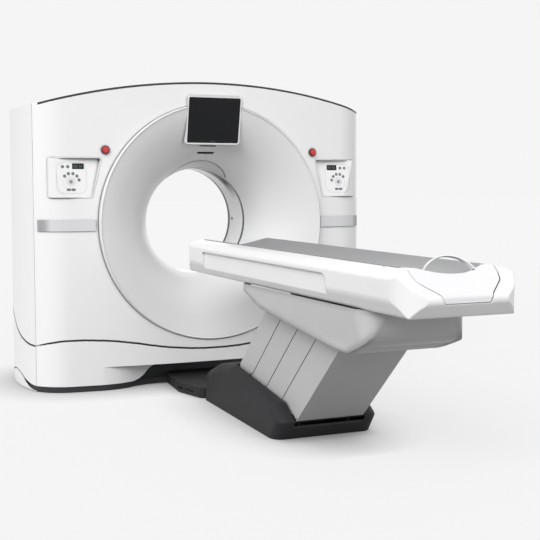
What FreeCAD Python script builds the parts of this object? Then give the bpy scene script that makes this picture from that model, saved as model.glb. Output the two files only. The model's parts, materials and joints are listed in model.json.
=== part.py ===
import FreeCAD, Part
import math
import os

# Large-bore CT scanner: ring gantry, lifting patient table and sliding cradle. Millimetres.
# X runs across the table, +Y along the bore from the table into the gantry, +Z up. The origin is
# on the floor under the scan plane, where the gantry's floor plate rests.

Vector = FreeCAD.Vector

# ---------------------------------------------------------------- driving dimensions: the gantry
iso_height = 1040.0          # height of the bore's axis
bore_radius = 350.0
bore_half_length = 150.0     # the straight part of the bore, each way from the scan plane
face_depth = 505.0           # scan plane to the front cover, on the centre line
face_radius = 8300.0         # the covers' slight bow in plan
side_reach = 1178.0          # half width over the bulged side covers
side_radius = 1000.0
corner_inset = 248.0         # in from the side's reach, where the bow turns into the rounded corner
corner_radius = 260.0
crown_height = 890.0         # the gantry's top over the bore's axis
arch_radius = 4100.0         # the top's arch, seen from the front
cover_wall = 5.0
cover_gap = 3.0              # shadow gap between neighbouring covers
seam_gap = 8.0               # the wider groove over the lower covers
seam_lip = 22.0              # how far the lower covers' backing lip reaches past their edge
seam_centre = 230.0          # height of the lower covers' wavy edge, on the centre line
seam_crest = 322.0
seam_corner = 283.0
seam_rear = 500.0
plinth_height = 38.0
plinth_inset = 10.0
plinth_width = 30.0
skirt_height = 98.0          # the side covers' skirt, at its middle
skirt_gap = 7.0              # and the black groove over it
skirt_foot = 2.0
skirt_edge = 6.0             # its upper edge at the creases
skirt_backing = 20.0         # the plinth reaches this far up behind the groove
skirt_fit = 0.3
toe_half = 730.0             # the toe recess under the front cover
toe_flat = 330.0
toe_depth = 95.0
toe_height = 148.0
toe_mouth = 545.0            # half width of the opening in the recess, at the plinth
toe_mouth_top = 322.0
toe_mouth_height = 138.0

ring_radius = 739.0          # the flare's rim
ring_proud = 5.0             # the rim stands this far out of the front cover
flare_radius = 517.0
lip_crest = 6.0
lip_width = 14.0
lip_drop = 12.0
lip_depth = 60.0
trim_length = 32.0           # glossy ring at each end of the scan window
window_wall = 3.0

top_inset = 88.0             # the black top grille's end, in from the side's reach
top_thick = 14.0
vent_count = 17
vent_width = 26.0
vent_length = 300.0
vent_pitch = 58.0

panel_outer_inset = 126.0    # control panel pocket: its outer side, in from the side's reach
panel_high_margin = 87.0     # its inner corners, out from the covers' round hole
panel_low_margin = 43.5
panel_foot = 157.0           # its lower and upper sides, over the bore's axis
panel_head = 410.0
panel_corner = 16.0
panel_sink = 22.0            # the panel's face lies this far in at its top
panel_rise = 6.0             # and stands this far out at its foot
panel_rim = 5.0
panel_back = 40.0
panel_fit = 1.5
display_width = 72.0
display_height = 34.0
display_shift = 26.0         # from the panel's middle, towards the bore
display_drop = 56.0          # from the panel's upper side
display_thick = 3.0
key_shift = 9.5              # from the panel's middle, away from the bore
key_rise = 103.0             # from the panel's lower side
key_radius = 11.0
key_stroke = 2.0
key_length = 9.0
key_proud = 0.5
key_gap = 0.3
stop_margin = 100.5          # emergency stop buttons: out from the covers' round hole
stop_rise = 454.0            # and over the bore's axis
stop_cap_radius = 19.0
stop_cap_length = 14.0
stop_stem_radius = 9.0
stop_stem_length = 24.0
stop_collar_radius = 27.0
stop_collar_length = 8.0
stop_collar_root = 10.0
stop_well_floor = 2.0        # the collar's floor over the cover
stop_stroke = 5.0
stop_spare = 1.0             # what is left under the cap when it is pushed home
stop_gap = 0.3
band_margin = 15.0           # raised trim bands under the panels: from the covers' round hole
band_outer_inset = 73.0      # to this far in from the side's reach
band_foot = 42.0             # from this far under the bore's axis
band_head = 26.0             # to this far over it
band_thick = 7.0

monitor_half = 183.0
monitor_rise = 497.0         # its foot over the bore's axis
monitor_height = 301.0
monitor_foot_set = 42.0      # its face lies this far behind the flare's rim at its foot
monitor_head_set = 13.0      # and this far before it at its top
monitor_corner = 20.0
monitor_rim = 9.0
monitor_root = 210.0         # how deep its housing goes, from the flare's rim
screen_depth = 3.0
laser_half = 56.5            # positioning-laser slot in the flare
laser_rise = 447.0
laser_height = 11.0
slit_rise = 490.5            # the thin slit right under the monitor
slit_height = 5.0
light_height = 50.0          # breathing-light panel over the bore
light_foot = 3.0
light_half_angle = 37.0
light_gap = 1.5
light_tip_set = 10.0         # its pointed ends end this far before the hole's

# ---------------------------------------------------------------- driving dimensions: inside the gantry
floor_plate_inset = 228.0    # the floor plate's ends, in from the side's reach
floor_plate_y = 262.0
floor_plate_thick = 20.0
beam_height = 110.0
beam_width = 80.0
beam_wall = 6.0
beam_edge = 2.0              # from the floor plate's edge
beam_end = 110.0             # from the floor plate's end
tie_beam_x = 650.0
gantry_hole_end = 50.0       # floor anchors, from the floor plate's ends
gantry_hole_y = 215.0
anchor_hole_radius = 9.0
hoop_tube = 30.0             # the hoops of square tube that the covers hang on
hoop_side = 193.0            # in from the side's reach
hoop_y = 290.0
hoop_drop = 200.0            # under the gantry's top
frame_front = 175.0          # the standing frame's plate
frame_thick = 40.0
frame_drop = 210.0           # its top under the gantry's
frame_slope = 420.0          # its cut-off upper corners, down and across
frame_shoulder = 330.0
frame_corner = 120.0
frame_web = 20.0
frame_web_depth = 90.0
frame_web_drop = 620.0       # the webs' top under the frame's
frame_foot_inset = 80.0
frame_foot_height = 330.0
drum_clear = 20.0            # between the drum's rim and the frame's webs
hub_clear = 82.0             # from the bore's wall
hub_wall = 18.0
drum_reach = 440.0           # the drum's rim, from the bore's wall
drum_front = 105.0
drum_thick = 30.0
drum_rim = 20.0
drum_rim_depth = 60.0
drum_hole_clear = 40.0
hub_end = 292.0
race_start_gap = 3.0
race_width = 34.0
race_wall = 30.0
race_gap = 3.0
pulley_wall = 26.0
pulley_front = 232.0
pulley_width = 26.0
pulley_flange = 8.0
pulley_flange_thick = 4.0
belt_thick = 5.0
belt_fit = 0.3
belt_edge = 1.0
slip_ring_width = 30.0
slip_ring_wall = 55.0
brush_gap = 4.0
brush_half = 70.0
brush_height = 70.0
brush_side = 6.0
brush_stay_half = 30.0
motor_clock = 44.1           # degrees under level, seen from the front
motor_clear = 26.0           # between the motor and the drum's rim
motor_pulley_radius = 60.0
motor_radius = 75.0
motor_length = 190.0
motor_flange_half = 90.0
motor_flange_thick = 12.0
motor_shaft_radius = 14.0
motor_shaft_root = 40.0
motor_hole_gap = 6.0
tube_radius = 110.0          # X-ray tube casing, its axis along the bore
tube_set = 155.0             # its axis, in from the drum's rim
tube_half_length = 165.0
tube_bell_length = 40.0
tube_saddle_half = 60.0
tube_back_gap = 30.0
collimator_top_half = 60.0
collimator_foot_half = 95.0
collimator_half_width = 60.0
beam_top_half = 22.0         # the X-ray beam's way through the collimator
beam_foot_half = 70.0
beam_half_width = 18.0
collimator_foot_gap = 22.0
detector_set = 110.0         # in from the drum's rim
detector_depth = 120.0
detector_half_width = 85.0
detector_half_angle = 28.0
detector_stay_half = 220.0
detector_stay_set = 60.0
module_set = 100.0           # the boxes that ride on the drum: in from its rim
module_depth = 220.0
generator_half = 170.0
generator_length = 200.0
exchanger_half = 150.0
exchanger_length = 215.0
fin_count = 6
fin_gap = 16.0
fin_pitch = 50.0
fin_depth = 50.0
fin_edge = 20.0
weight_half = 60.0
weight_set = 50.0
weight_depth = 100.0
weight_length = 85.0
weight_clocks = (-140.0, -45.0, 48.0)
fan_radius = 62.0
fan_wall = 6.0
fan_hub = 20.0
fan_height = 30.0
fan_stay_half = 4.0
fan_drop = 90.0              # under the gantry's top
fan_pitch = 480.0
fan_back = 330.0             # the two middle fans stand behind the rotor
cabinet_depth = 90.0         # the power cabinet, outside the left hoop
cabinet_foot = 200.0
cabinet_height = 780.0
cabinet_sheet = 4.0
cabinet_shelves = 3

# ---------------------------------------------------------------- driving dimensions: the table
cradle_drop = 85.0           # the cradle's rims under the bore's axis
cradle_half = 210.0
cradle_dish = 50.0           # every depth on the table top is measured down from the cradle's rims
cradle_depth = 82.0
cradle_rim_height = 22.0
cradle_belly_half = 158.0
cradle_rim_wall = 9.0
cradle_tip = -636.0
cradle_foot = -3140.0
cradle_head_depth = 57.0     # the flat head end, for a head holder
cradle_head_y = -668.0
cradle_head_ramp = 232.0
tip_corner = 175.0
socket_half = 40.0           # head-holder socket
socket_height = 14.0
socket_depth = 120.0
socket_floor = 5.0

cap_depth = 137.0            # the cradle's foot cap
cap_low_y = -3334.0
cap_waist_depth = 87.0
cap_shoulder_depth = 53.0
cap_crown_y = -3205.0        # where its face tips over
cap_crown_dish = 34.0        # the dish left there
cap_crown_drop = 2.0
cap_brow_y = -3298.0
cap_brow_depth = 79.0
cap_tongue_half = 108.0
cap_waist_half = 124.0
cap_wall = 8.0
cap_gap = 2.0                # round the cap
hoop_half = 142.0
hoop_foot_y = -3192.0
hoop_foot_depth = 34.0
hoop_rise = 50.0             # the hoop handle's top over the rims
hoop_lean = 34.0
hoop_width = 20.0
hoop_thick = 6.0
hoop_root = 6.0
hoop_fit = 0.3

body_half = 292.0
body_depth = 198.0
body_shoulder_depth = 41.0
body_top_depth = 3.0
body_bevel = 30.0
body_foot_inset = 38.0
body_wall = 5.0
body_tip = -640.0
body_end = -3352.0
body_end_low = -3292.0
body_end_high = -3205.0
body_end_depth = 133.0
body_end_corner = 165.0
trough_gap = 3.0             # between the cradle and the trough that it runs in
trough_under = 12.0
recess_start = -1050.0
recess_end = -2640.0
recess_top_depth = 64.0
recess_depth = 14.0
recess_corner = 46.0

shroud_tip = -1560.0
shroud_heel_y = -1840.0
shroud_heel_depth = 310.0
shroud_toe_y = -2745.0
shroud_toe_depth = 420.0
shroud_end = -3000.0
shroud_inset = 22.0          # its sides, in from the table body's
shroud_low_inset = 42.0
shroud_wall = 5.0
shroud_mouth_gap = 10.0      # round the pedestal
shroud_mouth_front = -2628.0
mouth_lead = 12.0             # from the lowered slats to the end of the underside's slot

rail_outer = 156.0
rail_width = 28.0
rail_sheet = 6.0
rail_foot = 8.0              # over the table body's underside
rail_gap = 0.6
slide_gap = 2.0              # between the foot cap's hips and the strips that the cradle slides on
slide_reach = 2.0            # the strips reach this far past the cradle's belly
slide_depth = 6.0            # the rails lie this far under the hips
rail_start = -728.0
rail_end = -3190.0
cross_half = 25.0
cross_height = 40.0
cross_places = (30.0, 452.0, 672.0, 2172.0, 2402.0)      # back from the rails' start
bracket_gap = 8.0            # between the lift arms and the brackets that the shafts stand in
bracket_thick = 12.0
roller_radius = 30.0
roller_side_gap = 22.0
roller_gap = 0.4
roller_axle_radius = 8.0
roller_back = 122.0          # from the rails' start
hanger_half = 20.0
cradle_motor_radius = 24.0
cradle_motor_back = 140.0
cradle_motor_half = 65.0
cradle_motor_plate = 14.0
cradle_motor_deck = 8.0
cradle_motor_gap = 4.0

# ---------------------------------------------------------------- driving dimensions: the lift
arm_length = 700.0
lowest_lean = 80.0           # the arms' lean with the table at its lowest
pivot_depth = 341.6          # the front upper pivot, under the cradle's rims; it sets the arms' lean
pivot_slope = 8.4            # the pivot lines fall this much, away from the gantry
pivot_pitch = 212.0
front_pivot_y = -2123.0
front_pivot_z = 136.0
shaft_radius = 12.0
shaft_fit = 0.06
open_fit = 1.2               # the linkage is opened at its upper pins
boss_radius = 22.0
arm_inset = 78.0             # the arms' inner faces, in from the pedestal's sides
arm_plate = 14.0
arm_back = 50.0
arm_front = 20.0
arm_tie_radius = 16.0
panel_skin = 5.0
slat_front = 28.5            # how far each slat reaches past its pivot, towards the table's foot
slat_back = 152.0
slat_back_last = 136.5
slat_layer = 7.0             # the slats lie in steps of this, so that they slide past each other
slat_outer = 190.0
slat_foot = 12.0             # the slats' lower edge lies this far under the pivot line
slat_foot_front = 34.0       # and the front panel's
slat_head = 25.0             # and their upper edge this far under the upper pivot line

base_half = 286.0            # the base cover's half width at its foot end
base_half_rear = 246.0       # and next to the gantry
base_rear = -938.0
base_front = -2066.0         # where its front meets the floor
base_lean = 72.0             # and how far it leans out above that
base_toe_z = 104.0
base_hump = 270.0            # the highest corner of its outline
base_hump_y = -1380.0
base_crest_y = -1170.0       # the outline's other corners, down from the hump
base_crest_drop = 18.0
base_brow_y = -2026.0
base_brow_drop = 90.0
base_heel_lean = 14.0
base_heel_drop = 98.0
base_shoulder = 58.0         # the rounding of its upper edges
base_wall = 5.0
base_rim_gap = 10.0          # round the pedestal
base_mouth_rear = -1320.0
base_toe_wall = 5.0          # what the opening leaves of the toe, and under its edge
base_toe_edge = 12.0
base_plate_reach = 24.0      # past the pedestal's sides
base_plate_thick = 16.0
base_plate_rear = -1090.0
base_plate_front = -2030.0
base_hole_edge = 24.0
base_hole_y = 400.0
base_hole_middle = -1570.0
gearbox_radius = 56.0
gearbox_gap = 16.0
gear_foot_half = 50.0
gear_foot_front = 40.0
gear_foot_back = 160.0
lift_motor_radius = 40.0
lift_motor_z = 178.0
lift_motor_length = 200.0
link_half = 180.0            # the way from the base cover into the floor link
foot_half = 315.0
foot_height = 64.0
foot_wall = 6.0
foot_front = -300.0
foot_slot_length = 90.0
foot_slot_height = 12.0
foot_slot_z = 22.0
foot_slot_reach = 70.0
foot_slot_places = (90.0, 210.0)     # from the base cover
foot_neck = 60.0             # narrower by this on each side next to the base cover
foot_waist = 250.0           # and widest this far from it
foot_taper = 40.0
link_drop = 8.0

far = 3000.0                 # longer than anything that is cut

# ---------------------------------------------------------------- what follows from them
gantry_height = iso_height + crown_height
corner_start = side_reach - corner_inset
ring_reach = face_depth + ring_proud
cover_hole_radius = ring_radius + lip_width + cover_gap
top_half = side_reach - top_inset


def hole_edge(z):
    """Half width of the covers' round hole at a height."""
    return math.sqrt(cover_hole_radius ** 2 - (z - iso_height) ** 2)


panel_low = iso_height + panel_foot
panel_high = iso_height + panel_head
panel_outer = side_reach - panel_outer_inset
panel_inner_top = hole_edge(panel_high) + panel_high_margin
panel_inner_bottom = hole_edge(panel_low) + panel_low_margin


def panel_middle(z):
    share = (z - panel_low) / (panel_high - panel_low)
    inner = panel_inner_bottom + share * (panel_inner_top - panel_inner_bottom)
    return (panel_outer + inner) / 2


display_z = panel_high - display_drop
display_x = panel_middle(display_z) - display_shift
key_z = panel_low + key_rise
key_x = panel_middle(key_z) + key_shift
stop_z = iso_height + stop_rise
stop_x = hole_edge(stop_z) + stop_margin
band_inner = cover_hole_radius + band_margin
band_outer = side_reach - band_outer_inset
band_low = iso_height - band_foot
band_high = iso_height + band_head
monitor_low = iso_height + monitor_rise
monitor_high = monitor_low + monitor_height
monitor_low_reach = ring_reach - monitor_foot_set
monitor_high_reach = ring_reach + monitor_head_set
light_reach = bore_radius + light_height

floor_plate_x = side_reach - floor_plate_inset
gantry_hole_x = floor_plate_x - gantry_hole_end
hoop_x = side_reach - hoop_side
drum_outer = bore_radius + drum_reach
drum_hole = bore_radius + drum_hole_clear
hub_inner = bore_radius + hub_clear
hub_outer = hub_inner + hub_wall
frame_half = drum_outer + drum_clear + frame_web
frame_top = gantry_height - frame_drop
slip_ring_outer = hub_outer + slip_ring_wall
motor_reach = drum_outer + motor_radius + motor_clear
motor_x = motor_reach * math.cos(math.radians(motor_clock))
motor_z = iso_height - motor_reach * math.sin(math.radians(motor_clock))
tube_orbit = drum_outer - tube_set
detector_outer = drum_outer - detector_set
detector_inner = detector_outer - detector_depth
module_outer = drum_outer - module_set
module_inner = module_outer - module_depth

cradle_rim_z = iso_height - cradle_drop
cradle_dish_z = cradle_rim_z - cradle_dish
cradle_belly_z = cradle_rim_z - cradle_depth
cradle_head_z = cradle_rim_z - cradle_head_depth
cap_low_z = cradle_rim_z - cap_depth
cap_waist_z = cradle_rim_z - cap_waist_depth
cap_shoulder_z = cradle_rim_z - cap_shoulder_depth
hoop_foot_z = cradle_rim_z - hoop_foot_depth
hoop_top_z = cradle_rim_z + hoop_rise
body_low_z = cradle_rim_z - body_depth
body_shoulder_z = cradle_rim_z - body_shoulder_depth
body_top_z = cradle_rim_z - body_top_depth
body_end_z = cradle_rim_z - body_end_depth
body_bevel_half = body_half - body_bevel
slot_half = cradle_half + trough_gap
recess_top_z = cradle_rim_z - recess_top_depth
shroud_heel_z = cradle_rim_z - shroud_heel_depth
shroud_toe_z = cradle_rim_z - shroud_toe_depth
shroud_half = body_half - shroud_inset
shroud_low_half = body_half - shroud_low_inset
shroud_mouth_half = slat_outer + shroud_mouth_gap
rail_inner = rail_outer - rail_width
rail_low_z = body_low_z + rail_foot
cross_high_z = rail_low_z + cross_height
roller_half = rail_inner - roller_side_gap
drive_roller_y = rail_start - roller_back

arm_lean = math.degrees(math.acos((cradle_rim_z - pivot_depth - front_pivot_z) / arm_length))
arm_inner = slat_outer - arm_inset
bracket_inner = arm_inner + arm_plate + bracket_gap
bracket_outer = bracket_inner + bracket_thick
base_rim_half = slat_outer + base_rim_gap
base_plate_half = slat_outer + base_plate_reach
base_hole_x = base_plate_half - base_hole_edge
gearbox_half = arm_inner - gearbox_gap


# ---------------------------------------------------------------- drawing helpers
def plan(x, y):
    return Vector(x, y, 0)


def side_view(y, z):
    return Vector(0, y, z)


def front_view(x, z):
    return Vector(x, 0, z)


def box(x0, x1, y0, y1, z0, z1):
    return Part.makeBox(x1 - x0, y1 - y0, z1 - z0, Vector(x0, y0, z0))


def rod(radius, start, end):
    along = Vector(*end) - Vector(*start)
    return Part.makeCylinder(radius, along.Length, Vector(*start), along)


def tube(outer, inner, start, end):
    return rod(outer, start, end).cut(rod(inner, start, end))


def bore_ring(outer, inner, y0, y1):
    return tube(outer, inner, (0, y0, iso_height), (0, y1, iso_height))


def both_sides(shape):
    return [shape, mirrored(shape)]


def mirrored(shape):
    return shape.mirror(Vector(0, 0, 0), Vector(1, 0, 0))


def joined(shapes):
    whole = shapes[0].multiFuse(shapes[1:]) if len(shapes) > 1 else shapes[0]
    return whole.removeSplitter()


def one_face(edges):
    return Part.Face(Part.Wire(Part.__sortEdges__(edges)))


def path_face(place, start, steps):
    """A closed flat face. A step is an end point, or a pair (middle, end) for an arc."""
    edges = []
    here = place(*start)
    for step in list(steps) + [start]:
        if isinstance(step[0], tuple):
            there = place(*step[1])
            edges.append(Part.Arc(here, place(*step[0]), there).toShape())
        else:
            there = place(*step)
            if there.distanceToPoint(here) > 0.001:
                edges.append(Part.LineSegment(here, there).toShape())
        here = there
    return Part.Face(Part.Wire(edges))


def rounded_face(place, corners):
    """A closed polygon whose corners (u, v, radius) are rounded with tangent arcs."""
    count = len(corners)
    starts, middles, ends = [], [], []
    for index, (u, v, radius) in enumerate(corners):
        tip = Vector(u, v, 0)
        back = Vector(*corners[index - 1][:2], 0) - tip
        onward = Vector(*corners[(index + 1) % count][:2], 0) - tip
        back.normalize()
        onward.normalize()
        half = back.getAngle(onward) / 2
        reach = radius / math.tan(half)
        bisector = back + onward
        starts.append(tip + back * reach)
        ends.append(tip + onward * reach)
        if radius:
            bisector.normalize()
            middles.append(tip + bisector * (radius / math.sin(half) - radius))
        else:
            middles.append(None)
    edges = []
    for index in range(count):
        first = place(starts[index].x, starts[index].y)
        last = place(ends[index].x, ends[index].y)
        if middles[index]:
            middle = place(middles[index].x, middles[index].y)
            edges.append(Part.Arc(first, middle, last).toShape())
        following = starts[(index + 1) % count]
        onward = place(following.x, following.y)
        if onward.distanceToPoint(last) > 0.001:
            edges.append(Part.LineSegment(last, onward).toShape())
    return Part.Face(Part.Wire(edges))


def across(face, x0, x1):
    """A face drawn in the side view, from x0 to x1."""
    return face.translated(Vector(x0, 0, 0)).extrude(Vector(x1 - x0, 0, 0))


def along(face, y0, y1):
    """A face drawn in the front view, from y0 to y1."""
    return face.translated(Vector(0, y0, 0)).extrude(Vector(0, y1 - y0, 0))


def upward(face, z0, z1):
    """A face drawn in plan, from z0 to z1."""
    return face.translated(Vector(0, 0, z0)).extrude(Vector(0, 0, z1 - z0))


def level_arc(start, end):
    """Steps of one arc that leaves its start level, and of its mirror image for arrivals."""
    run, rise = end[0] - start[0], end[1] - start[1]
    radius = (run * run + rise * rise) / (2 * rise)
    turn = math.asin(abs(run / radius)) / 2
    middle = (start[0] + math.copysign(abs(radius) * math.sin(turn), run),
              start[1] + radius * (1 - math.cos(turn)))
    return middle


def ease(start, end):
    """Two tangent arcs from start to end, level at both."""
    half = ((start[0] + end[0]) / 2, (start[1] + end[1]) / 2)
    middle = level_arc(start, half)
    opposite = (2 * half[0] - middle[0], 2 * half[1] - middle[1])
    return [(middle, half), (opposite, end)]


# ---------------------------------------------------------------- the gantry's outer form
def meet(centre, radius, other_centre, other_radius):
    """Where two circles cross, nearest the front."""
    between = other_centre - centre
    gap = between.Length
    foot = (radius ** 2 - other_radius ** 2 + gap ** 2) / (2 * gap)
    off = math.sqrt(radius ** 2 - foot ** 2)
    root = centre + between * (foot / gap)
    sideways = Vector(-between.y, between.x, 0) * (off / gap)
    return min((root + sideways, root - sideways), key=lambda point: point.y)


def toward(centre, radius, point):
    way = point - centre
    return centre + way * (radius / way.Length)


def corner_points(inset):
    """The front right quarter's bow end, corner middle and crease, at an inset from the outside."""
    bow_centre = Vector(0, face_radius - face_depth, 0)
    rise = math.sqrt(face_radius ** 2 - corner_start ** 2)
    bow_end = bow_centre + Vector(corner_start, -rise, 0)
    corner_centre = toward(bow_centre, face_radius - corner_radius, bow_end)
    side_centre = Vector(side_reach - side_radius, 0, 0)
    crease = meet(corner_centre, corner_radius - inset, side_centre, side_radius - inset)
    start = toward(bow_centre, face_radius - inset, bow_end)
    middle = toward(corner_centre, corner_radius - inset, (start + crease) * 0.5)
    return start, middle, crease


def gantry_plan(inset):
    start, middle, crease = corner_points(inset)

    def turned(point, x_sign, y_sign):
        return Vector(point.x * x_sign, point.y * y_sign, 0)

    edges = []
    for y_sign in (1, -1):
        bow = Vector(0, -(face_depth - inset) * y_sign, 0)
        edges.append(Part.Arc(turned(start, -1, y_sign), bow, turned(start, 1, y_sign)).toShape())
        for x_sign in (1, -1):
            ends = [turned(point, x_sign, y_sign) for point in (start, middle, crease)]
            edges.append(Part.Arc(*ends).toShape())
    for x_sign in (1, -1):
        bulge = Vector((side_reach - inset) * x_sign, 0, 0)
        ends = turned(crease, x_sign, 1), bulge, turned(crease, x_sign, -1)
        edges.append(Part.Arc(*ends).toShape())
    return one_face(edges)


def under_arch(inset, y_half=far):
    centre = gantry_height - arch_radius
    return rod(arch_radius - inset, (0, -y_half, centre), (0, y_half, centre))


def gantry_block(inset, low=0.0):
    return upward(gantry_plan(inset), low, far).common(under_arch(inset))


def gantry_skin(outer_inset=0.0, inner_inset=cover_wall):
    return gantry_block(outer_inset).cut(gantry_block(inner_inset, -1.0))


def crease_line(shift):
    """Points outside and inside the crease, on the cut between front and side covers."""
    crease = corner_points(0)[2]
    normal = toward(Vector(0, 0, 0), 1, crease - Vector(side_reach - side_radius, 0, 0))
    crease = crease + Vector(-normal.y, normal.x, 0) * shift
    inside = crease - normal * ((crease.x - top_half) / normal.x)
    return crease + normal * 60, inside


def front_zone():
    outside, inside = crease_line(-cover_gap / 2)
    points = [(-far, -far), (far, -far), (outside.x, outside.y), (inside.x, inside.y),
              (-inside.x, inside.y), (-outside.x, outside.y)]
    return upward(path_face(plan, points[0], points[1:]), -1, far)


def side_zone():
    outside, inside = crease_line(cover_gap / 2)
    points = [(inside.x, inside.y), (outside.x, outside.y), (outside.x + 100, 0),
              (outside.x, -outside.y), (inside.x, -inside.y)]
    return upward(path_face(plan, points[0], points[1:]), -1, far)


def turned_back(shape):
    """The same piece on the gantry's rear."""
    return shape.mirror(Vector(0, 0, 0), Vector(0, 1, 0))


def under_front_seam(lift):
    crease_x = corner_points(0)[2].x
    centre, crest = (0, seam_centre + lift), (corner_start, seam_crest + lift)
    corner = (crease_x, seam_corner + lift)
    steps = ease(centre, crest) + [(level_arc(crest, corner), corner)]
    steps += [(far, corner[1]), (far, -10), (0, -10)]
    half = along(path_face(front_view, centre, steps), -far, 0)
    return half.fuse(mirrored(half)).removeSplitter()


def under_side_seam(lift):
    crease_y = corner_points(0)[2].y
    start = (crease_y, seam_corner + lift)
    end = (-crease_y, seam_rear + lift)
    steps = ease(start, end) + [(far, end[1]), (far, -10), (-far, -10), (-far, start[1])]
    return across(path_face(side_view, start, steps), -far, far)


def under_rear_seam(lift):
    return box(-far, far, 0, far, -10, seam_rear + lift)


def under_top_grille():
    gap = cover_gap
    limit = under_arch(top_thick + gap)
    slab = box(-top_half - gap, top_half + gap, -far, far, iso_height, far)
    return slab.cut(limit)


def flare_centre():
    """Centre of the flare's arc, as (radius, reach)."""
    near = Vector(bore_radius, bore_half_length, 0)
    rim = Vector(ring_radius, ring_reach, 0)
    chord = rim - near
    rise = math.sqrt(flare_radius ** 2 - (chord.Length / 2) ** 2)
    return (near + rim) * 0.5 + Vector(chord.y, -chord.x, 0) * (rise / chord.Length)


def flare_arc(wall):
    """Start, middle and end of the flare's section, at a depth behind its visible face."""
    centre = flare_centre()
    radius = flare_radius - wall
    near_rise = math.sqrt(radius ** 2 - (bore_half_length - centre.y) ** 2)
    near = Vector(centre.x - near_rise, bore_half_length, 0)
    rim_rise = math.sqrt(radius ** 2 - (ring_radius - centre.x) ** 2)
    rim = Vector(ring_radius, centre.y + rim_rise, 0)
    middle = toward(centre, radius, (near + rim) * 0.5)
    return [(point.x, point.y) for point in (near, middle, rim)]


def bore_section(radius, reach):
    return Vector(radius, -reach, iso_height)


def spun(face):
    return face.revolve(Vector(0, 0, iso_height), Vector(0, 1, 0), 360)


def behind_flare():
    """Everything behind the flare's visible face, lip included."""
    near, middle, rim = flare_arc(0)
    lip = ring_radius + lip_width
    steps = [(middle, rim), (ring_radius + lip_crest, ring_reach + lip_crest),
             (lip, ring_reach - lip_drop + lip_crest), (lip, bore_half_length)]
    return spun(path_face(bore_section, near, steps))


# ---------------------------------------------------------------- the gantry's covers
def front_funnel_whole():
    near, middle, rim = flare_arc(0)
    near_back, middle_back, rim_back = flare_arc(cover_wall)
    lip = ring_radius + lip_width
    lip_edge = ring_reach - lip_drop + lip_crest
    back = lip_edge - lip_depth
    steps = [(middle, rim), (ring_radius + lip_crest, ring_reach + lip_crest), (lip, lip_edge),
             (lip, back), (lip - cover_wall, back), (lip - cover_wall, lip_edge - cover_wall / 2),
             (ring_radius + lip_crest, ring_reach + lip_crest - cover_wall * 1.3), rim_back,
             (middle_back, near_back)]
    return spun(path_face(bore_section, near, steps))


def light_outline(gap):
    """The breathing-light panel's crescent, seen from the front, in from its edge by a gap."""
    low = bore_radius + light_foot + gap
    high = light_reach - gap
    tip_set = light_tip_set if gap else 0
    half_angle = math.radians(light_half_angle) - tip_set / low
    tip_x, tip_z = low * math.sin(half_angle), low * math.cos(half_angle)
    steps = [((0, iso_height + high), (tip_x, iso_height + tip_z)),
             ((0, iso_height + low), (-tip_x, iso_height + tip_z))]
    return along(path_face(front_view, (-tip_x, iso_height + tip_z), steps), -far, 0)


def flare_slot(rise, height, gap):
    half = laser_half + gap
    low = iso_height + rise - height / 2 - gap
    return box(-half, half, -far, 0, low, low + height + 2 * gap)


def laser_slots(gap):
    """The positioning laser's slot and the thin slit over it, seen from the front."""
    return flare_slot(laser_rise, laser_height, gap).fuse(flare_slot(slit_rise, slit_height, gap))


def front_funnel():
    whole = front_funnel_whole().cut(light_outline(0)).cut(monitor_notch(1))
    return whole.cut(laser_slots(light_gap / 2))


def rear_funnel():
    return turned_back(front_funnel_whole())


def breathing_light_panel():
    return front_funnel_whole().common(light_outline(light_gap))


def laser_window():
    return front_funnel_whole().common(laser_slots(0))


def bore_trim():
    outer = bore_radius + cover_wall
    return bore_ring(outer, bore_radius, -bore_half_length, trim_length - bore_half_length)


def scan_window():
    edge = bore_half_length - trim_length
    return bore_ring(bore_radius + window_wall, bore_radius, -edge, edge)


def cover_hole():
    return rod(cover_hole_radius, (0, -far, iso_height), (0, far, iso_height))


def panel_corners(grow):
    """The left control panel's outline, seen from the front."""
    radius = panel_corner + grow
    return [(-panel_outer - grow, panel_low - grow, radius),
            (-panel_inner_bottom + grow, panel_low - grow, radius),
            (-panel_inner_top + grow * 1.4, panel_high + grow, radius),
            (-panel_outer - grow, panel_high + grow, radius)]


def panel_prism(grow):
    return along(rounded_face(front_view, panel_corners(grow)), -far, 0)


def bow_y(x):
    """The front cover's surface on its bow."""
    return face_radius - face_depth - math.sqrt(face_radius ** 2 - x ** 2)


def panel_slant():
    """Everything behind the control panel's tilted face."""
    mean_y = bow_y((panel_outer + panel_inner_top) / 2)
    top = (mean_y + panel_sink, panel_high)
    foot = (mean_y - panel_rise, panel_low)
    lean = (top[0] - foot[0]) / (top[1] - foot[1])
    high = (top[0] + lean * 100, top[1] + 100)
    low = (foot[0] - lean * 100, foot[1] - 100)
    face = path_face(side_view, low, [high, (0, high[1]), (0, low[1])])
    return across(face, -far, 0)


def panel_face_y(z):
    mean_y = bow_y((panel_outer + panel_inner_top) / 2)
    share = (z - panel_low) / (panel_high - panel_low)
    return mean_y - panel_rise + share * (panel_sink + panel_rise)


def key_way():
    """The push direction of a key, square to the tilted panel."""
    lean = (panel_sink + panel_rise) / (panel_high - panel_low)
    way = Vector(0, 1, -lean)
    way.normalize()
    return way


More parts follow.
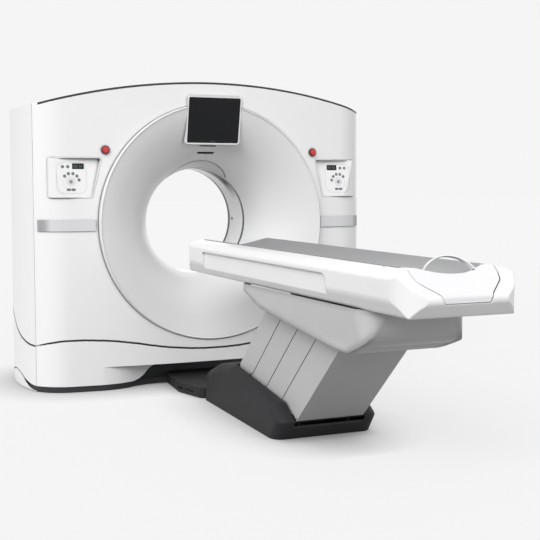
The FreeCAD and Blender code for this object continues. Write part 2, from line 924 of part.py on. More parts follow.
def left_control_panel():
    tray = panel_prism(-panel_fit).common(gantry_block(0, 1)).cut(gantry_block(panel_back, 0))
    face = panel_prism(-panel_fit - panel_rim)
    proud = face.common(panel_slant()).cut(gantry_block(panel_back, 0))
    hollow = face.cut(panel_slant())
    tray = tray.cut(hollow).fuse(proud.common(gantry_block(-panel_rise * 2, 1)))
    tray = tray.cut(display_block(panel_fit / 3, far))
    centre, way = key_centre(), key_way()
    socket = Part.makeCylinder(key_radius + key_gap, key_length + key_stroke + 2,
                               centre - way * 30, way)
    deep = Part.makeCylinder(key_radius + key_gap, 30 + key_length + key_stroke + 2,
                             centre - way * 30, way)
    return tray.cut(socket).cut(deep).removeSplitter()


def key_centre():
    return Vector(-key_x, panel_face_y(key_z), key_z)


def display_block(grow, depth):
    """The display's pocket: a tilted slab under the panel's face."""
    half_w, half_h = display_width / 2 + grow, display_height / 2 + grow
    slab = box(-display_x - half_w, -display_x + half_w, -far, 0,
               display_z - half_h, display_z + half_h)
    slant = panel_slant()
    thick = min(depth, display_thick)
    return slab.common(slant).cut(slant.translated(Vector(0, thick, 0)))


def left_panel_display():
    return display_block(0, display_thick)


def left_start_key():
    centre, way = key_centre(), key_way()
    return Part.makeCylinder(key_radius, key_length, centre - way * (key_stroke + key_proud), way)


def stop_axis():
    """Centre of the left emergency stop on the cover, and its push direction."""
    surface = Vector(-stop_x, bow_y(stop_x), stop_z)
    inward = Vector(0, face_radius - face_depth, stop_z) - surface
    inward.normalize()
    return surface, inward


def left_stop_collar():
    centre, way = stop_axis()
    outer = Part.makeCylinder(stop_collar_radius, stop_collar_length + stop_collar_root,
                              centre - way * stop_collar_length, way)
    well = Part.makeCylinder(stop_cap_radius + stop_gap, stop_collar_length - stop_well_floor,
                             centre - way * stop_collar_length, way)
    hole = Part.makeCylinder(stop_stem_radius + stop_gap, far, centre - way * stop_collar_length, way)
    return outer.cut(well).cut(hole)


def left_stop_button():
    centre, way = stop_axis()
    face = centre - way * (stop_well_floor + stop_stroke + stop_spare)
    cap = Part.makeCylinder(stop_cap_radius, stop_cap_length, face - way * (stop_cap_length), way)
    rim = [edge for edge in cap.Edges if edge.CenterOfMass.distanceToPoint(face) > stop_cap_length - 1]
    cap = cap.makeFillet(stop_cap_length / 3, [edge for edge in rim if edge.Closed])
    stem = Part.makeCylinder(stop_stem_radius, stop_stem_length, face, way)
    return cap.fuse(stem).removeSplitter()


def stop_hole():
    centre, way = stop_axis()
    return Part.makeCylinder(stop_collar_radius, 40, centre - way * 20, way)


def band_zone():
    return box(-band_outer, -band_inner, -far, 0, band_low, band_high)


def left_trim_band():
    return gantry_skin(-band_thick, 0).common(front_zone()).common(band_zone())


def front_cover():
    cover = gantry_skin().common(front_zone()).cut(cover_hole())
    cover = cover.cut(under_front_seam(seam_gap)).cut(under_top_grille())
    pocket = panel_prism(0)
    stop = stop_hole()
    return cover.cut(pocket).cut(mirrored(pocket)).cut(stop).cut(mirrored(stop))


def rear_cover():
    zone = turned_back(front_zone())
    cover = gantry_skin().common(zone).cut(cover_hole())
    return cover.cut(under_rear_seam(seam_gap)).cut(under_top_grille())


def right_side_cover():
    return gantry_skin().common(side_zone()).cut(under_side_seam(seam_gap))


def seam_strip(zone, under):
    """The lip behind the seam, which backs the groove over a lower cover."""
    lip = gantry_skin(cover_wall, cover_wall * 2).common(zone)
    return lip.common(under(seam_gap + seam_lip)).cut(under(-seam_lip))


def above_plinth(shape):
    return shape.cut(box(-far, far, -far, far, -10, plinth_height))


def toe_recess(wall):
    """What the toe recess takes out of the gantry's block, deeper by a wall's thickness."""
    front = bow_y(toe_half) + wall
    depth = front + toe_depth
    steps = ease((-toe_half, front), (-toe_flat, depth)) + [(toe_flat, depth)]
    steps += ease((toe_flat, depth), (toe_half, front)) + [(toe_half, -far), (-toe_half, -far)]
    return upward(path_face(plan, (-toe_half, front), steps), -1, toe_height + wall)


def toe_opening():
    low = plinth_height
    start, end = (toe_mouth, low), (toe_mouth_top, toe_mouth_height)
    steps = ease(start, end) + [(-toe_mouth_top, toe_mouth_height)]
    steps += ease((-toe_mouth_top, toe_mouth_height), (-toe_mouth, low))
    steps += [(-toe_mouth, -10), (toe_mouth, -10)]
    return along(path_face(front_view, start, steps), -far, 0)


def lower_front_cover():
    outer = gantry_block(0).cut(toe_recess(0))
    inner = gantry_block(cover_wall, -1).cut(toe_recess(cover_wall))
    cover = outer.cut(inner).common(front_zone()).common(under_front_seam(0))
    cover = joined([cover, seam_strip(front_zone(), under_front_seam)])
    return above_plinth(cover).cut(toe_opening()).cut(cover_hole())


def lower_rear_cover():
    zone = turned_back(front_zone())
    cover = gantry_skin().common(zone).common(under_rear_seam(0))
    return above_plinth(joined([cover, seam_strip(zone, under_rear_seam)])).cut(cover_hole())


def under_side_edge(low, crest):
    """Under a line along the side that climbs from the creases to a crest over the scan plane."""
    crease_y = corner_points(0)[2].y
    start, top, end = (crease_y, low), (0, crest), (-crease_y, low)
    steps = ease(start, top) + ease(top, end) + [(far, low), (far, -10), (-far, -10), (-far, low)]
    return across(path_face(side_view, start, steps), -far, far)


def lower_right_cover():
    cover = gantry_skin().common(side_zone()).common(under_side_seam(0))
    cover = joined([cover, seam_strip(side_zone(), under_side_seam)])
    return cover.cut(under_side_edge(plinth_height, skirt_height + skirt_gap))


def right_skirt():
    """The strip under the side cover's groove; it ends just over the floor."""
    skirt = gantry_skin().common(side_zone()).common(under_side_edge(skirt_edge, skirt_height))
    return skirt.cut(box(-far, far, -far, far, -10, skirt_foot))


def plinth():
    """The black ring that the covers stand on, raised behind the grooves over the skirts."""
    inner_inset = plinth_inset + plinth_width
    outer = gantry_block(plinth_inset).cut(toe_recess(plinth_inset))
    inner = gantry_block(inner_inset, -1).cut(toe_recess(inner_inset))
    ring = outer.cut(inner).common(box(-far, far, -far, far, 0, plinth_height)).cut(toe_opening())
    backing = gantry_skin(cover_wall + skirt_fit, inner_inset).common(side_zone())
    crest = skirt_height + skirt_gap + skirt_backing
    backing = backing.common(under_side_edge(plinth_height, crest)).common(box(-far, far, -far, far, 0, far))
    return joined([ring, backing])


def top_grille():
    plate = gantry_block(cover_wall - 1).cut(under_arch(top_thick))
    plate = plate.common(box(-top_half, top_half, -far, far, iso_height, far))
    for row in (-1, 1):
        for index in range(vent_count):
            x = (index - (vent_count - 1) / 2) * vent_pitch
            y = row * (vent_length / 2 + vent_width)
            slot = box(x - vent_width / 2, x + vent_width / 2, y - vent_length / 2,
                       y + vent_length / 2, gantry_height - 400, far)
            plate = plate.cut(slot)
    return plate


def monitor_face(depth):
    """Everything behind the monitor's tilted face, at a depth under it."""
    lean = (monitor_high_reach - monitor_low_reach) / (monitor_high - monitor_low)
    foot = (-monitor_low_reach + lean * 100 + depth, monitor_low - 100)
    head = (-monitor_high_reach - lean * 100 + depth, monitor_high + 100)
    face = path_face(side_view, foot, [head, (0, head[1]), (0, foot[1])])
    return across(face, -far, far)


def monitor_prism(inset):
    half, low, high = monitor_half - inset, monitor_low + inset, monitor_high - inset
    radius = monitor_corner - inset
    corners = [(-half, low, radius), (half, low, radius), (half, high, radius), (-half, high, radius)]
    return along(rounded_face(front_view, corners), -far, monitor_root - ring_reach)


def monitor_notch(gap):
    """Where the flare's rim makes way for the monitor."""
    reach = ring_reach - 30 - gap
    return monitor_prism(-gap).cut(box(-far, far, -reach, far, -far, far))


def monitor_housing():
    block = monitor_prism(0).common(monitor_face(0))
    block = block.cut(behind_flare().cut(monitor_notch(0))).cut(gantry_block(0).cut(cover_hole()))
    pocket = monitor_prism(monitor_rim).cut(monitor_face(screen_depth))
    return block.cut(pocket)


def monitor_screen():
    plate = monitor_prism(monitor_rim).common(monitor_face(0))
    return plate.cut(monitor_face(screen_depth))


# ---------------------------------------------------------------- inside the gantry
def gantry_holes():
    holes = []
    for x in (-gantry_hole_x, gantry_hole_x):
        for y in (-gantry_hole_y, gantry_hole_y):
            holes.append(rod(anchor_hole_radius, (x, y, -1), (x, y, beam_height * 2)))
    return holes


def cover_frame():
    """The right-hand hoop of square tube that the covers hang on."""
    inner, low, high = hoop_x - hoop_tube, floor_plate_thick, gantry_height - hoop_drop
    rails = []
    for y in (-hoop_y, hoop_y - hoop_tube):
        rails.append(box(inner, hoop_x, y, y + hoop_tube, low, high))
    rails.append(box(inner, hoop_x, -hoop_y, hoop_y, high - hoop_tube, high))
    rails.append(box(floor_plate_x - hoop_tube, hoop_x, -hoop_y, hoop_y, low, low + hoop_tube))
    return joined(rails)


def base_weldment():
    low, high = floor_plate_thick, floor_plate_thick + beam_height
    plate = box(-floor_plate_x, floor_plate_x, -floor_plate_y, floor_plate_y, 0, low)
    beams = [plate]
    edge, wall = floor_plate_y - beam_edge, beam_wall
    end = floor_plate_x - beam_end
    for y in (-edge, edge - beam_width):
        beam = box(-end, end, y, y + beam_width, low, high)
        beams.append(beam.cut(box(-far, far, y + wall, y + beam_width - wall, low + wall, high - wall)))
    for x in (-tie_beam_x, tie_beam_x - beam_width):
        beams.append(box(x, x + beam_width, beam_width - edge, edge - beam_width, low, high))
    weldment = joined(beams + both_sides(cover_frame()))
    for hole in gantry_holes():
        weldment = weldment.cut(hole)
    return weldment


def race_start():
    return frame_front + race_start_gap


def stator_frame():
    low = floor_plate_thick + beam_height
    back = frame_front + frame_thick
    bend, shoulder, corner = frame_top - frame_slope, frame_half - frame_shoulder, frame_corner
    corners = [(-frame_half, low, 0), (frame_half, low, 0), (frame_half, bend, corner),
               (shoulder, frame_top, corner), (-shoulder, frame_top, corner), (-frame_half, bend, corner)]
    plate = along(rounded_face(front_view, corners), frame_front, back)
    plate = plate.cut(rod(race_radii()[3], (0, -far, iso_height), (0, far, iso_height)))
    side_web = box(frame_half - frame_web, frame_half, frame_front - frame_web_depth, frame_front,
                   low, frame_top - frame_web_drop)
    foot_x = frame_half - frame_foot_inset
    foot = path_face(side_view, (back, low), [(floor_plate_y, low), (back, low + frame_foot_height)])
    foot = across(foot, foot_x - frame_web, foot_x)
    hole_radius = motor_shaft_radius + motor_hole_gap
    motor_hole = rod(hole_radius, (motor_x, -far, motor_z), (motor_x, far, motor_z))
    return joined([plate] + both_sides(side_web) + both_sides(foot)).cut(motor_hole)


def race_radii():
    """Inner race in and out, outer race in and out."""
    inner = hub_outer + race_wall
    return hub_outer, inner, inner + race_gap, inner + race_gap + race_wall


def bearing_outer_race():
    radii = race_radii()
    return bore_ring(radii[3], radii[2], race_start(), race_start() + race_width)


def bearing_inner_race():
    radii = race_radii()
    return bore_ring(radii[1], radii[0], race_start(), race_start() + race_width)


def rotor_drum():
    """The drum's disc, its rim, the hub that the bearing carries and the belt's land."""
    back = drum_front + drum_thick
    disc = bore_ring(drum_outer, drum_hole, drum_front, back)
    rim = bore_ring(drum_outer, drum_outer - drum_rim, drum_front - drum_rim_depth, drum_front)
    hub = bore_ring(hub_outer, hub_inner, back, hub_end)
    pulley = bore_ring(hub_outer + pulley_wall, hub_outer, pulley_front, pulley_front + pulley_width)
    return joined([disc, rim, hub, pulley])


def slip_ring():
    return bore_ring(slip_ring_outer, hub_outer, hub_end - slip_ring_width, hub_end)


def brush_block():
    z = iso_height + slip_ring_outer + brush_gap
    front = hub_end - slip_ring_width - brush_side
    block = box(-brush_half, brush_half, front, hub_end + brush_side, z, z + brush_height)
    stay = box(-brush_stay_half, brush_stay_half, frame_front + frame_thick, front,
               z + brush_height / 2, z + brush_height)
    return joined([block, stay])


def belt_run(grow):
    """The belt's loop over its pulleys, seen from the front: two arcs and their common tangents."""
    big = race_radii()[0] + pulley_wall + grow
    small = motor_pulley_radius + grow
    hub = Vector(0, 0, iso_height)
    motor = Vector(motor_x, 0, motor_z)
    way = motor - hub
    reach = way.Length
    way.normalize()
    normal = Vector(way.z, 0, -way.x)
    lean = math.asin((big - small) / reach)
    tangents = []
    for sign in (1, -1):
        out = normal * (math.cos(lean) * sign) + way * math.sin(lean)
        tangents.append((hub + out * big, motor + out * small))
    (big_a, small_a), (big_b, small_b) = tangents
    edges = [Part.Arc(big_a, hub - way * big, big_b).toShape(),
             Part.LineSegment(big_b, small_b).toShape(),
             Part.Arc(small_b, motor + way * small, small_a).toShape(),
             Part.LineSegment(small_a, big_a).toShape()]
    return Part.Face(Part.Wire(edges))


def drive_belt():
    loop = belt_run(belt_thick).cut(belt_run(belt_fit))
    return along(loop, pulley_front + belt_edge, pulley_front + pulley_width - belt_edge)


def motor_pulley():
    start, end = pulley_front, pulley_front + pulley_width
    wheel = motor_rod(motor_pulley_radius, start, end)
    flange = motor_rod(motor_pulley_radius + pulley_flange, end, end + pulley_flange_thick)
    shaft = motor_rod(motor_shaft_radius, frame_front - motor_shaft_root, start)
    return joined([wheel, flange, shaft])


def motor_rod(radius, y0, y1):
    return rod(radius, (motor_x, y0, motor_z), (motor_x, y1, motor_z))


def drive_motor():
    back, half = frame_front - motor_flange_thick, motor_flange_half
    body = motor_rod(motor_radius, frame_front - motor_length, back)
    flange = box(motor_x - half, motor_x + half, back, frame_front, motor_z - half, motor_z + half)
    bore = motor_rod(motor_shaft_radius + shaft_fit, frame_front - motor_shaft_root * 1.5, far)
    return joined([body, flange]).cut(bore)


def at_clock(shape, degrees):
    """Turns a piece of the rotor about the bore's axis; 0 is at the top."""
    return shape.rotated(Vector(0, 0, iso_height), Vector(0, 1, 0), degrees)


def x_ray_tube():
    z = iso_height + tube_orbit
    front = -tube_half_length
    casing = rod(tube_radius, (0, front, z), (0, drum_front - tube_back_gap, z))
    end_bell = rod(tube_radius * 0.7, (0, front - tube_bell_length, z), (0, front, z))
    saddle = box(-tube_radius, tube_radius, front + tube_saddle_half, drum_front,
                 z - tube_saddle_half, z + tube_saddle_half)
    return joined([casing, end_bell, saddle])


def collimator():
    top = iso_height + tube_orbit - tube_radius
    low = iso_height + drum_hole + collimator_foot_gap

    def wedge(foot, head, over):
        points = [(foot, low - over), (head, top + over), (-head, top + over)]
        return path_face(front_view, (-foot, low - over), points)

    block = along(wedge(collimator_foot_half, collimator_top_half, 0), -collimator_half_width, drum_front)
    return block.cut(along(wedge(beam_foot_half, beam_top_half, 1), -beam_half_width, beam_half_width))


def detector_array():
    arc = bore_ring(detector_outer, detector_inner, -detector_half_width, detector_half_width)
    reach = detector_outer * 2
    width = reach * math.tan(math.radians(detector_half_angle))
    wedge = along(path_face(front_view, (0, iso_height), [(width, iso_height - reach),
                                                           (-width, iso_height - reach)]), -far, far)
    arc = arc.common(wedge)
    stay = box(-detector_stay_half, detector_stay_half, detector_half_width, drum_front,
               iso_height - detector_outer, iso_height - detector_inner - detector_stay_set)
    return joined([arc, stay])


def rotor_box(half, low, high, front):
    """A box module on the drum's face, at the top before it is turned into place."""
    return box(-half, half, front, drum_front, iso_height + low, iso_height + high)


def hv_generator():
    box_part = rotor_box(generator_half, module_inner, module_outer, drum_front - generator_length)
    return at_clock(box_part, 90)


def heat_exchanger():
    front = drum_front - exchanger_length
    body = rotor_box(exchanger_half, module_inner, module_outer, front)
    low, high = iso_height + module_inner + fin_edge, iso_height + module_outer - fin_edge
    for index in range(fin_count):
        x = (index - (fin_count - 1) / 2) * fin_pitch
        body = body.cut(box(x - fin_gap / 2, x + fin_gap / 2, front - 1, front + fin_depth, low, high))
    return at_clock(body, -90)


def balance_weights():
    high = drum_outer - weight_set
    weight = rotor_box(weight_half, high - weight_depth, high, drum_front - weight_length)
    return Part.makeCompound([at_clock(weight, clock) for clock in weight_clocks])


def cooling_fans():
    fans = []
    for place in (-1.5, -0.5, 0.5, 1.5):
        x, y = place * fan_pitch, fan_back if abs(place) < 1 else 0
        z = gantry_height - x ** 2 / (2 * arch_radius) - fan_drop
        ends = (x, y, z), (x, y, z + fan_height)
        stay = box(x - fan_radius + 1, x + fan_radius - 1, y - fan_stay_half, y + fan_stay_half,
                   z, z + fan_wall)
        fans.append(joined([tube(fan_radius, fan_radius - fan_wall, *ends), rod(fan_hub, *ends), stay]))
    return Part.makeCompound(fans)


def power_cabinet():
    """Mains distribution and drive electronics, in the left side bay: a sheet box with shelves."""
    low, sheet = floor_plate_thick + cabinet_foot, cabinet_sheet
    outer, inner = -hoop_x - cabinet_depth, -hoop_x
    cabinet = box(outer, inner, -hoop_y, hoop_y, low, low + cabinet_height)
    height = cabinet_height / cabinet_shelves
    for level in range(cabinet_shelves):
        floor = low + level * height
        cabinet = cabinet.cut(box(outer + sheet, inner - sheet, sheet - hoop_y, hoop_y - sheet,
                                  floor + sheet, floor + height - sheet))
    return cabinet


# ---------------------------------------------------------------- the lift
def lean_way(angle=arm_lean):
    lean = math.radians(angle)
    return Vector(0, -math.sin(lean), math.cos(lean)), Vector(0, math.cos(lean), math.sin(lean))


def lower_pivot(index):
    """Centre of a lower pivot; 0 is the one nearest the gantry and 3 the front one."""
    slope = math.radians(pivot_slope)
    step = pivot_pitch * (3 - index)
    return Vector(0, front_pivot_y + step * math.cos(slope), front_pivot_z + step * math.sin(slope))


def upper_pivot(index):
    return lower_pivot(index) + lean_way()[0] * arm_length


def arm_view(index):
    """Places (distance up the arm, distance back from it) in the side view."""
    origin = lower_pivot(index)
    up, back = lean_way()
    return lambda t, w: origin + up * t + back * w


def slat_end(height, w):
    """Distance up the arm at which a line parallel to the pivot line cuts the slat."""
    slope = math.radians(arm_lean - pivot_slope)
    return (height - w * math.sin(slope)) / math.cos(slope)


def pivot_rise():
    return arm_length * math.cos(math.radians(arm_lean - pivot_slope))


def x_rod(radius, centre, x0, x1):
    return rod(radius, (x0, centre.y, centre.z), (x1, centre.y, centre.z))


def slat_outline(index, back):
    front = -slat_front
    high = pivot_rise() - slat_head
    corners = [(slat_end(-slat_foot, front), front, 6), (slat_end(high, front), front, 6),
               (slat_end(high, back), back, 24), (slat_end(-slat_foot, back), back, 24)]
    return rounded_face(arm_view(index), corners)


def slat_plate(index, back, outer):
    """One side slat with its pivot ears, on the right."""
    inner = outer - panel_skin
    plate = across(slat_outline(index, back), inner, outer)
    low, high = lower_pivot(index), upper_pivot(index)
    ear = rounded_face(arm_view(index), [(arm_length - 80, -boss_radius, 0), (arm_length, -boss_radius, 0),
                                         (arm_length, boss_radius, 0), (arm_length - 80, boss_radius, 0)])
    pieces = [plate, x_rod(boss_radius, low, inner, outer), across(ear, inner, outer),
              x_rod(boss_radius, high, inner, outer)]
    slat = joined(pieces)
    slat = slat.cut(x_rod(shaft_radius + shaft_fit, low, 0, far))
    return slat.cut(x_rod(shaft_radius + open_fit, high, 0, far))


def slat_x(index):
    return slat_outer - (3 - index) * slat_layer


def slat_pair(index, back):
    return Part.makeCompound(both_sides(slat_plate(index, back, slat_x(index))))


def front_slat():
    """The folded front cover of the pedestal: the front panel and its two side slats."""
    place = arm_view(3)
    high = pivot_rise() - slat_head
    front, inner = -slat_front, -slat_front + panel_skin
    foot = -slat_foot_front
    corners = [(slat_end(foot, front), front), (slat_end(high, front), front),
               (slat_end(high, inner), inner), (slat_end(foot, inner), inner)]
    sheet = across(path_face(place, corners[0], corners[1:]), -slat_outer, slat_outer)
    return joined([sheet] + both_sides(slat_plate(3, slat_back, slat_outer)))


def lift_arms(index, top_fit, backed=False):
    """A pair of lift arms and the tubes between them; the rear pair is boxed in at its back."""
    place = arm_view(index)
    low, high = lower_pivot(index), upper_pivot(index)
    face = rounded_face(place, [(0, -arm_front, 0), (arm_length, -arm_front, 0),
                                (arm_length - 30, arm_back, 30), (30, arm_back, 30)])
    plate = across(face, arm_inner, arm_inner + arm_plate)
    for centre in (low, high):
        plate = plate.fuse(x_rod(boss_radius, centre, arm_inner, arm_inner + arm_plate))
    cross = []
    for share in (0.25, 0.5, 0.75):
        centre = place(arm_length * share, 15)
        cross.append(x_rod(arm_tie_radius, centre, -arm_inner - 1, arm_inner + 1))
    if backed:
        inner, outer = arm_back - panel_skin, arm_back
        corners = [(100, inner), (arm_length - 60, inner), (arm_length - 60, outer), (100, outer)]
        cross.append(across(path_face(place, corners[0], corners[1:]), -arm_inner - 1, arm_inner + 1))
    arms = joined(both_sides(plate) + cross)
    arms = arms.cut(x_rod(shaft_radius + shaft_fit, low, -far, far))
    return arms.cut(x_rod(shaft_radius + top_fit, high, -far, far))


def pivot_shafts(centre_of):
    """The four cross shafts that the arms and slats turn on."""
    return [x_rod(shaft_radius, centre_of(index), -slat_x(index), slat_x(index)) for index in range(4)]


# ---------------------------------------------------------------- the table's base
def base_profile(inset):
    """The base's outline in the side view, from the gantry's end over the top to the toe."""
    toe_y = base_front - base_lean + inset
    hump = base_hump - inset
    corners = [(base_rear - inset, -1, 0), (base_rear - base_heel_lean - inset, hump - base_heel_drop, 90),
               (base_crest_y, hump - base_crest_drop, 150), (base_hump_y, hump, 200),
               (base_brow_y, hump - base_brow_drop, 60), (toe_y, base_toe_z - inset, 12),
               (base_front + inset, -1, 0)]
    return rounded_face(side_view, corners)


def base_block(inset):
    """The tapering block, rounded along its upper edges and at its four upright corners."""
    block = across(base_profile(inset), -far, far)
    rear, front = base_half_rear - inset, base_half - inset
    slope = (front - rear) / (base_rear - base_front)
    wide, narrow = front + slope * 500, rear - slope * 500
    outline = [(wide, base_front - 500), (narrow, base_rear + 500), (-narrow, base_rear + 500),
               (-wide, base_front - 500)]
    block = block.common(upward(path_face(plan, outline[0], outline[1:]), -10, far))
    upper = []
    for edge in block.Edges:
        box_of = edge.BoundBox
        narrow_in_x = box_of.XLength < (wide - narrow) and abs(edge.CenterOfMass.x) > narrow
        if narrow_in_x and box_of.ZMax > 0:
            upper.append(edge)
    return block.makeFillet(base_shoulder - inset, upper)


def table_base_cover():
    cover = base_block(0).cut(base_block(base_wall))
    cover = cover.common(box(-far, far, -far, far, 0, far))
    behind_toe = base_front - base_lean + base_toe_wall
    corners = [(base_mouth_rear, base_wall), (base_mouth_rear, far), (behind_toe, far),
               (behind_toe, base_toe_z - base_toe_edge), (base_front + base_toe_edge, base_wall)]
    mouth = across(path_face(side_view, corners[0], corners[1:]), -base_rim_half, base_rim_half)
    link = box(-link_half, link_half, base_rear - 100, far, -1, foot_height - link_drop)
    return cover.cut(mouth).cut(link)


def base_holes():
    holes = []
    for x in (-base_hole_x, base_hole_x):
        for y in (base_hole_middle - base_hole_y, base_hole_middle + base_hole_y):
            holes.append(rod(anchor_hole_radius, (x, y, -1), (x, y, base_plate_thick + 1)))
    return holes


def table_base_frame():
    plate = box(-base_plate_half, base_plate_half, base_plate_front, base_plate_rear, 0, base_plate_thick)
    first, last = lower_pivot(0), lower_pivot(3)
    root = base_plate_thick - 1
    corners = [(last.y, last.z + boss_radius), (first.y, first.z + boss_radius), (first.y + 60, first.z),
               (first.y + 150, root), (base_plate_front + 5, root),
               (last.y + boss_radius * 2, last.z - boss_radius * 1.5), (last.y + boss_radius / 2, last.z - 8)]
    web = across(path_face(side_view, corners[0], corners[1:]), bracket_inner, bracket_outer)
    web = web.fuse(x_rod(boss_radius, last, bracket_inner, bracket_outer))
    frame = joined([plate] + both_sides(web) + pivot_shafts(lower_pivot))
    for hole in base_holes():
        frame = frame.cut(hole)
    return frame


def lift_gearmotor():
    centre = lower_pivot(0)
    box_part = x_rod(gearbox_radius, centre, -gearbox_half, gearbox_half)
    y0 = centre.y + 20
    motor = rod(lift_motor_radius, (0, y0, lift_motor_z), (0, y0 + lift_motor_length, lift_motor_z))
    pedestal = box(-gear_foot_half, gear_foot_half, centre.y - gear_foot_front, centre.y + gear_foot_back,
                   base_plate_thick, lift_motor_z - lift_motor_radius / 2)
    whole = joined([box_part, motor, pedestal])
    return whole.cut(x_rod(shaft_radius, centre, -far, far))


def floor_link_cover():
    def block(inset, low, high):
        half, neck = foot_half - inset, foot_half - foot_neck - inset
        rear, front = base_rear + 2 + inset, foot_front - inset
        taper, waist = half - foot_taper, base_rear + foot_waist
        outline = [(-neck, rear, 40), (neck, rear, 40), (half, waist, 160), (taper, front, 60),
                   (-taper, front, 60), (-half, waist, 160)]
        return upward(rounded_face(plan, outline), low, high)

    cover = block(0, 0, foot_height).cut(block(foot_wall, -1, foot_height - foot_wall))
    for place in foot_slot_places:
        y, reach = base_rear + place, foot_slot_reach
        slot = box(foot_half - reach, foot_half + reach, y, y + foot_slot_length,
                   foot_slot_z, foot_slot_z + foot_slot_height)
        cover = cover.cut(slot).cut(mirrored(slot))
    return cover


# ---------------------------------------------------------------- the table top
def tip_plan(half, tip, end, corner, end_corner):
    outline = [(-half, end, end_corner), (half, end, end_corner), (half, tip, corner), (-half, tip, corner)]
    return rounded_face(plan, outline)


def body_block(inset):
    """The table body's outer form, or the same form inside its walls."""
    half, bevel = body_half - inset, body_bevel_half - inset
    low, shoulder, top = body_low_z + inset, body_shoulder_z - inset / 2, body_top_z - inset
    foot_half = half - body_foot_inset
    half += 0.1              # the sides themselves come from the plan outline
    section = [(-foot_half, low, 24), (foot_half, low, 24), (half, low + 66, 60), (half, shoulder, 20),
               (bevel, top - 10, 10), (slot_half, top, 0), (-slot_half, top, 0), (-bevel, top - 10, 10),
               (-half, shoulder, 20), (-half, low + 66, 60)]
    outline = tip_plan(half - 0.1, body_tip - inset, body_end + inset, tip_corner + 60 - inset,
                       body_end_corner - inset)
    tip, end = body_tip - inset + 0.5, body_end + inset      # the tip's face comes from the plan outline
    side = [(tip, body_low_z + 60, 50), (tip, cradle_head_z + 6 - inset, 14),
            (cradle_head_y - cradle_head_ramp, body_top_z + 6 - inset, 40),
            (body_end_high, body_top_z + 6 - inset, 60), (end, body_end_z + 12, 34),
            (body_end_low + inset, low, 20), (tip - 70, low, 50)]
    block = across(rounded_face(side_view, side), -far, far).common(upward(outline, 0, far))
    return block.common(along(rounded_face(front_view, section), -far - 600, 0))


def recess_cutter():
    corners = [(recess_start, recess_top_z, 10), (recess_end, recess_top_z, recess_corner),
               (recess_end, body_low_z - 50, 0), (recess_start, body_low_z - 50, 0)]
    face = rounded_face(side_view, corners)
    return across(face, body_half - recess_depth, body_half + 50)


def cap_outline(grow):
    """The foot cap's outline as seen from the foot end: a wide top over a narrow tongue."""
    wide, waist, tongue = cradle_half + grow, cap_waist_half + grow, cap_tongue_half + grow
    low, hips = cap_low_z - grow, hips_z() - grow
    brim, shoulder, over = cradle_rim_z - 20 - grow, cap_shoulder_z - grow, cradle_rim_z + 35
    right = [(tongue, low, 10), (waist, hips, 16), (wide - 12, shoulder, 30), (wide, brim, 10),
             (wide, over, 0)]
    corners = right + [(-x, z, radius) for x, z, radius in reversed(right)]
    return along(rounded_face(front_view, corners), -far - 600, cradle_foot - 1 + grow)


def table_body_shell():
    body = body_block(0)
    for cutter in both_sides(recess_cutter()):
        body = body.cut(cutter)
    half = body_half - recess_depth - body_wall
    hollow = body_block(body_wall).common(box(-half, half, -far - 600, far, 0, body_shoulder_z + 12))
    trough = box(-slot_half, slot_half, cradle_foot - cap_gap, far, cradle_belly_z - trough_under, far)
    mouth = box(-shroud_mouth_half, shroud_mouth_half, shroud_end + 130, lowest_slat_y() + mouth_lead,
                0, body_low_z + 20)
    return body.cut(hollow).cut(trough).cut(cap_outline(cap_gap)).cut(mouth)


def lowest_slat_y():
    """Where the rear slats' back edges come out of the table body with the table at its lowest."""
    up, back = lean_way(lowest_lean)
    edge = upper_pivot(0) + back * slat_back_last
    return edge.y + up.y * (body_low_z - edge.z) / up.z


def shroud_profile(inset):
    corners = [(shroud_tip - inset, body_low_z + 1, 0), (shroud_tip - inset, body_low_z - 14, 12),
               (shroud_heel_y - inset, shroud_heel_z + inset, 160), (shroud_toe_y, shroud_toe_z + inset, 90),
               (shroud_end + 50 + inset, shroud_toe_z + 75, 130), (shroud_end + inset, body_low_z + 1, 0)]
    return rounded_face(side_view, corners)


def shroud_block(inset):
    half, low = shroud_half - inset, shroud_low_half - inset
    block = across(shroud_profile(inset), -half, half)
    section = [(-half, body_low_z + 1, 0), (-half + 4, body_low_z - 70, 60), (-low, shroud_toe_z + inset, 40),
               (low, shroud_toe_z + inset, 40), (half - 4, body_low_z - 70, 60), (half, body_low_z + 1, 0)]
    block = block.common(along(rounded_face(front_view, section), -far - 500, 0))
    outline = tip_plan(half, shroud_tip - inset, shroud_end + inset, 90 - inset, 150 - inset)
    return block.common(upward(outline, 0, far))


def table_shroud():
    shell = shroud_block(0).cut(shroud_block(shroud_wall))
    shell = shell.common(box(-far, far, -far - 500, far, 0, body_low_z - 0.5))
    mouth = box(-shroud_mouth_half, shroud_mouth_half, shroud_mouth_front, far, 0, far)
    return shell.cut(mouth)


def hips_z():
    """Height of the foot cap's hips, over its narrow tongue."""
    return cap_waist_z - 14


def slide_strip():
    """The upright strip along a rail that the cradle slides on; the cap's hips pass inside it."""
    top = cradle_belly_z - rail_gap
    share = (top - hips_z()) / (cap_shoulder_z - hips_z())
    inner = cap_waist_half + share * (cradle_half - 12 - cap_waist_half) + slide_gap
    return box(inner, cradle_belly_half + slide_reach, rail_end, rail_start, rail_low_z, top)


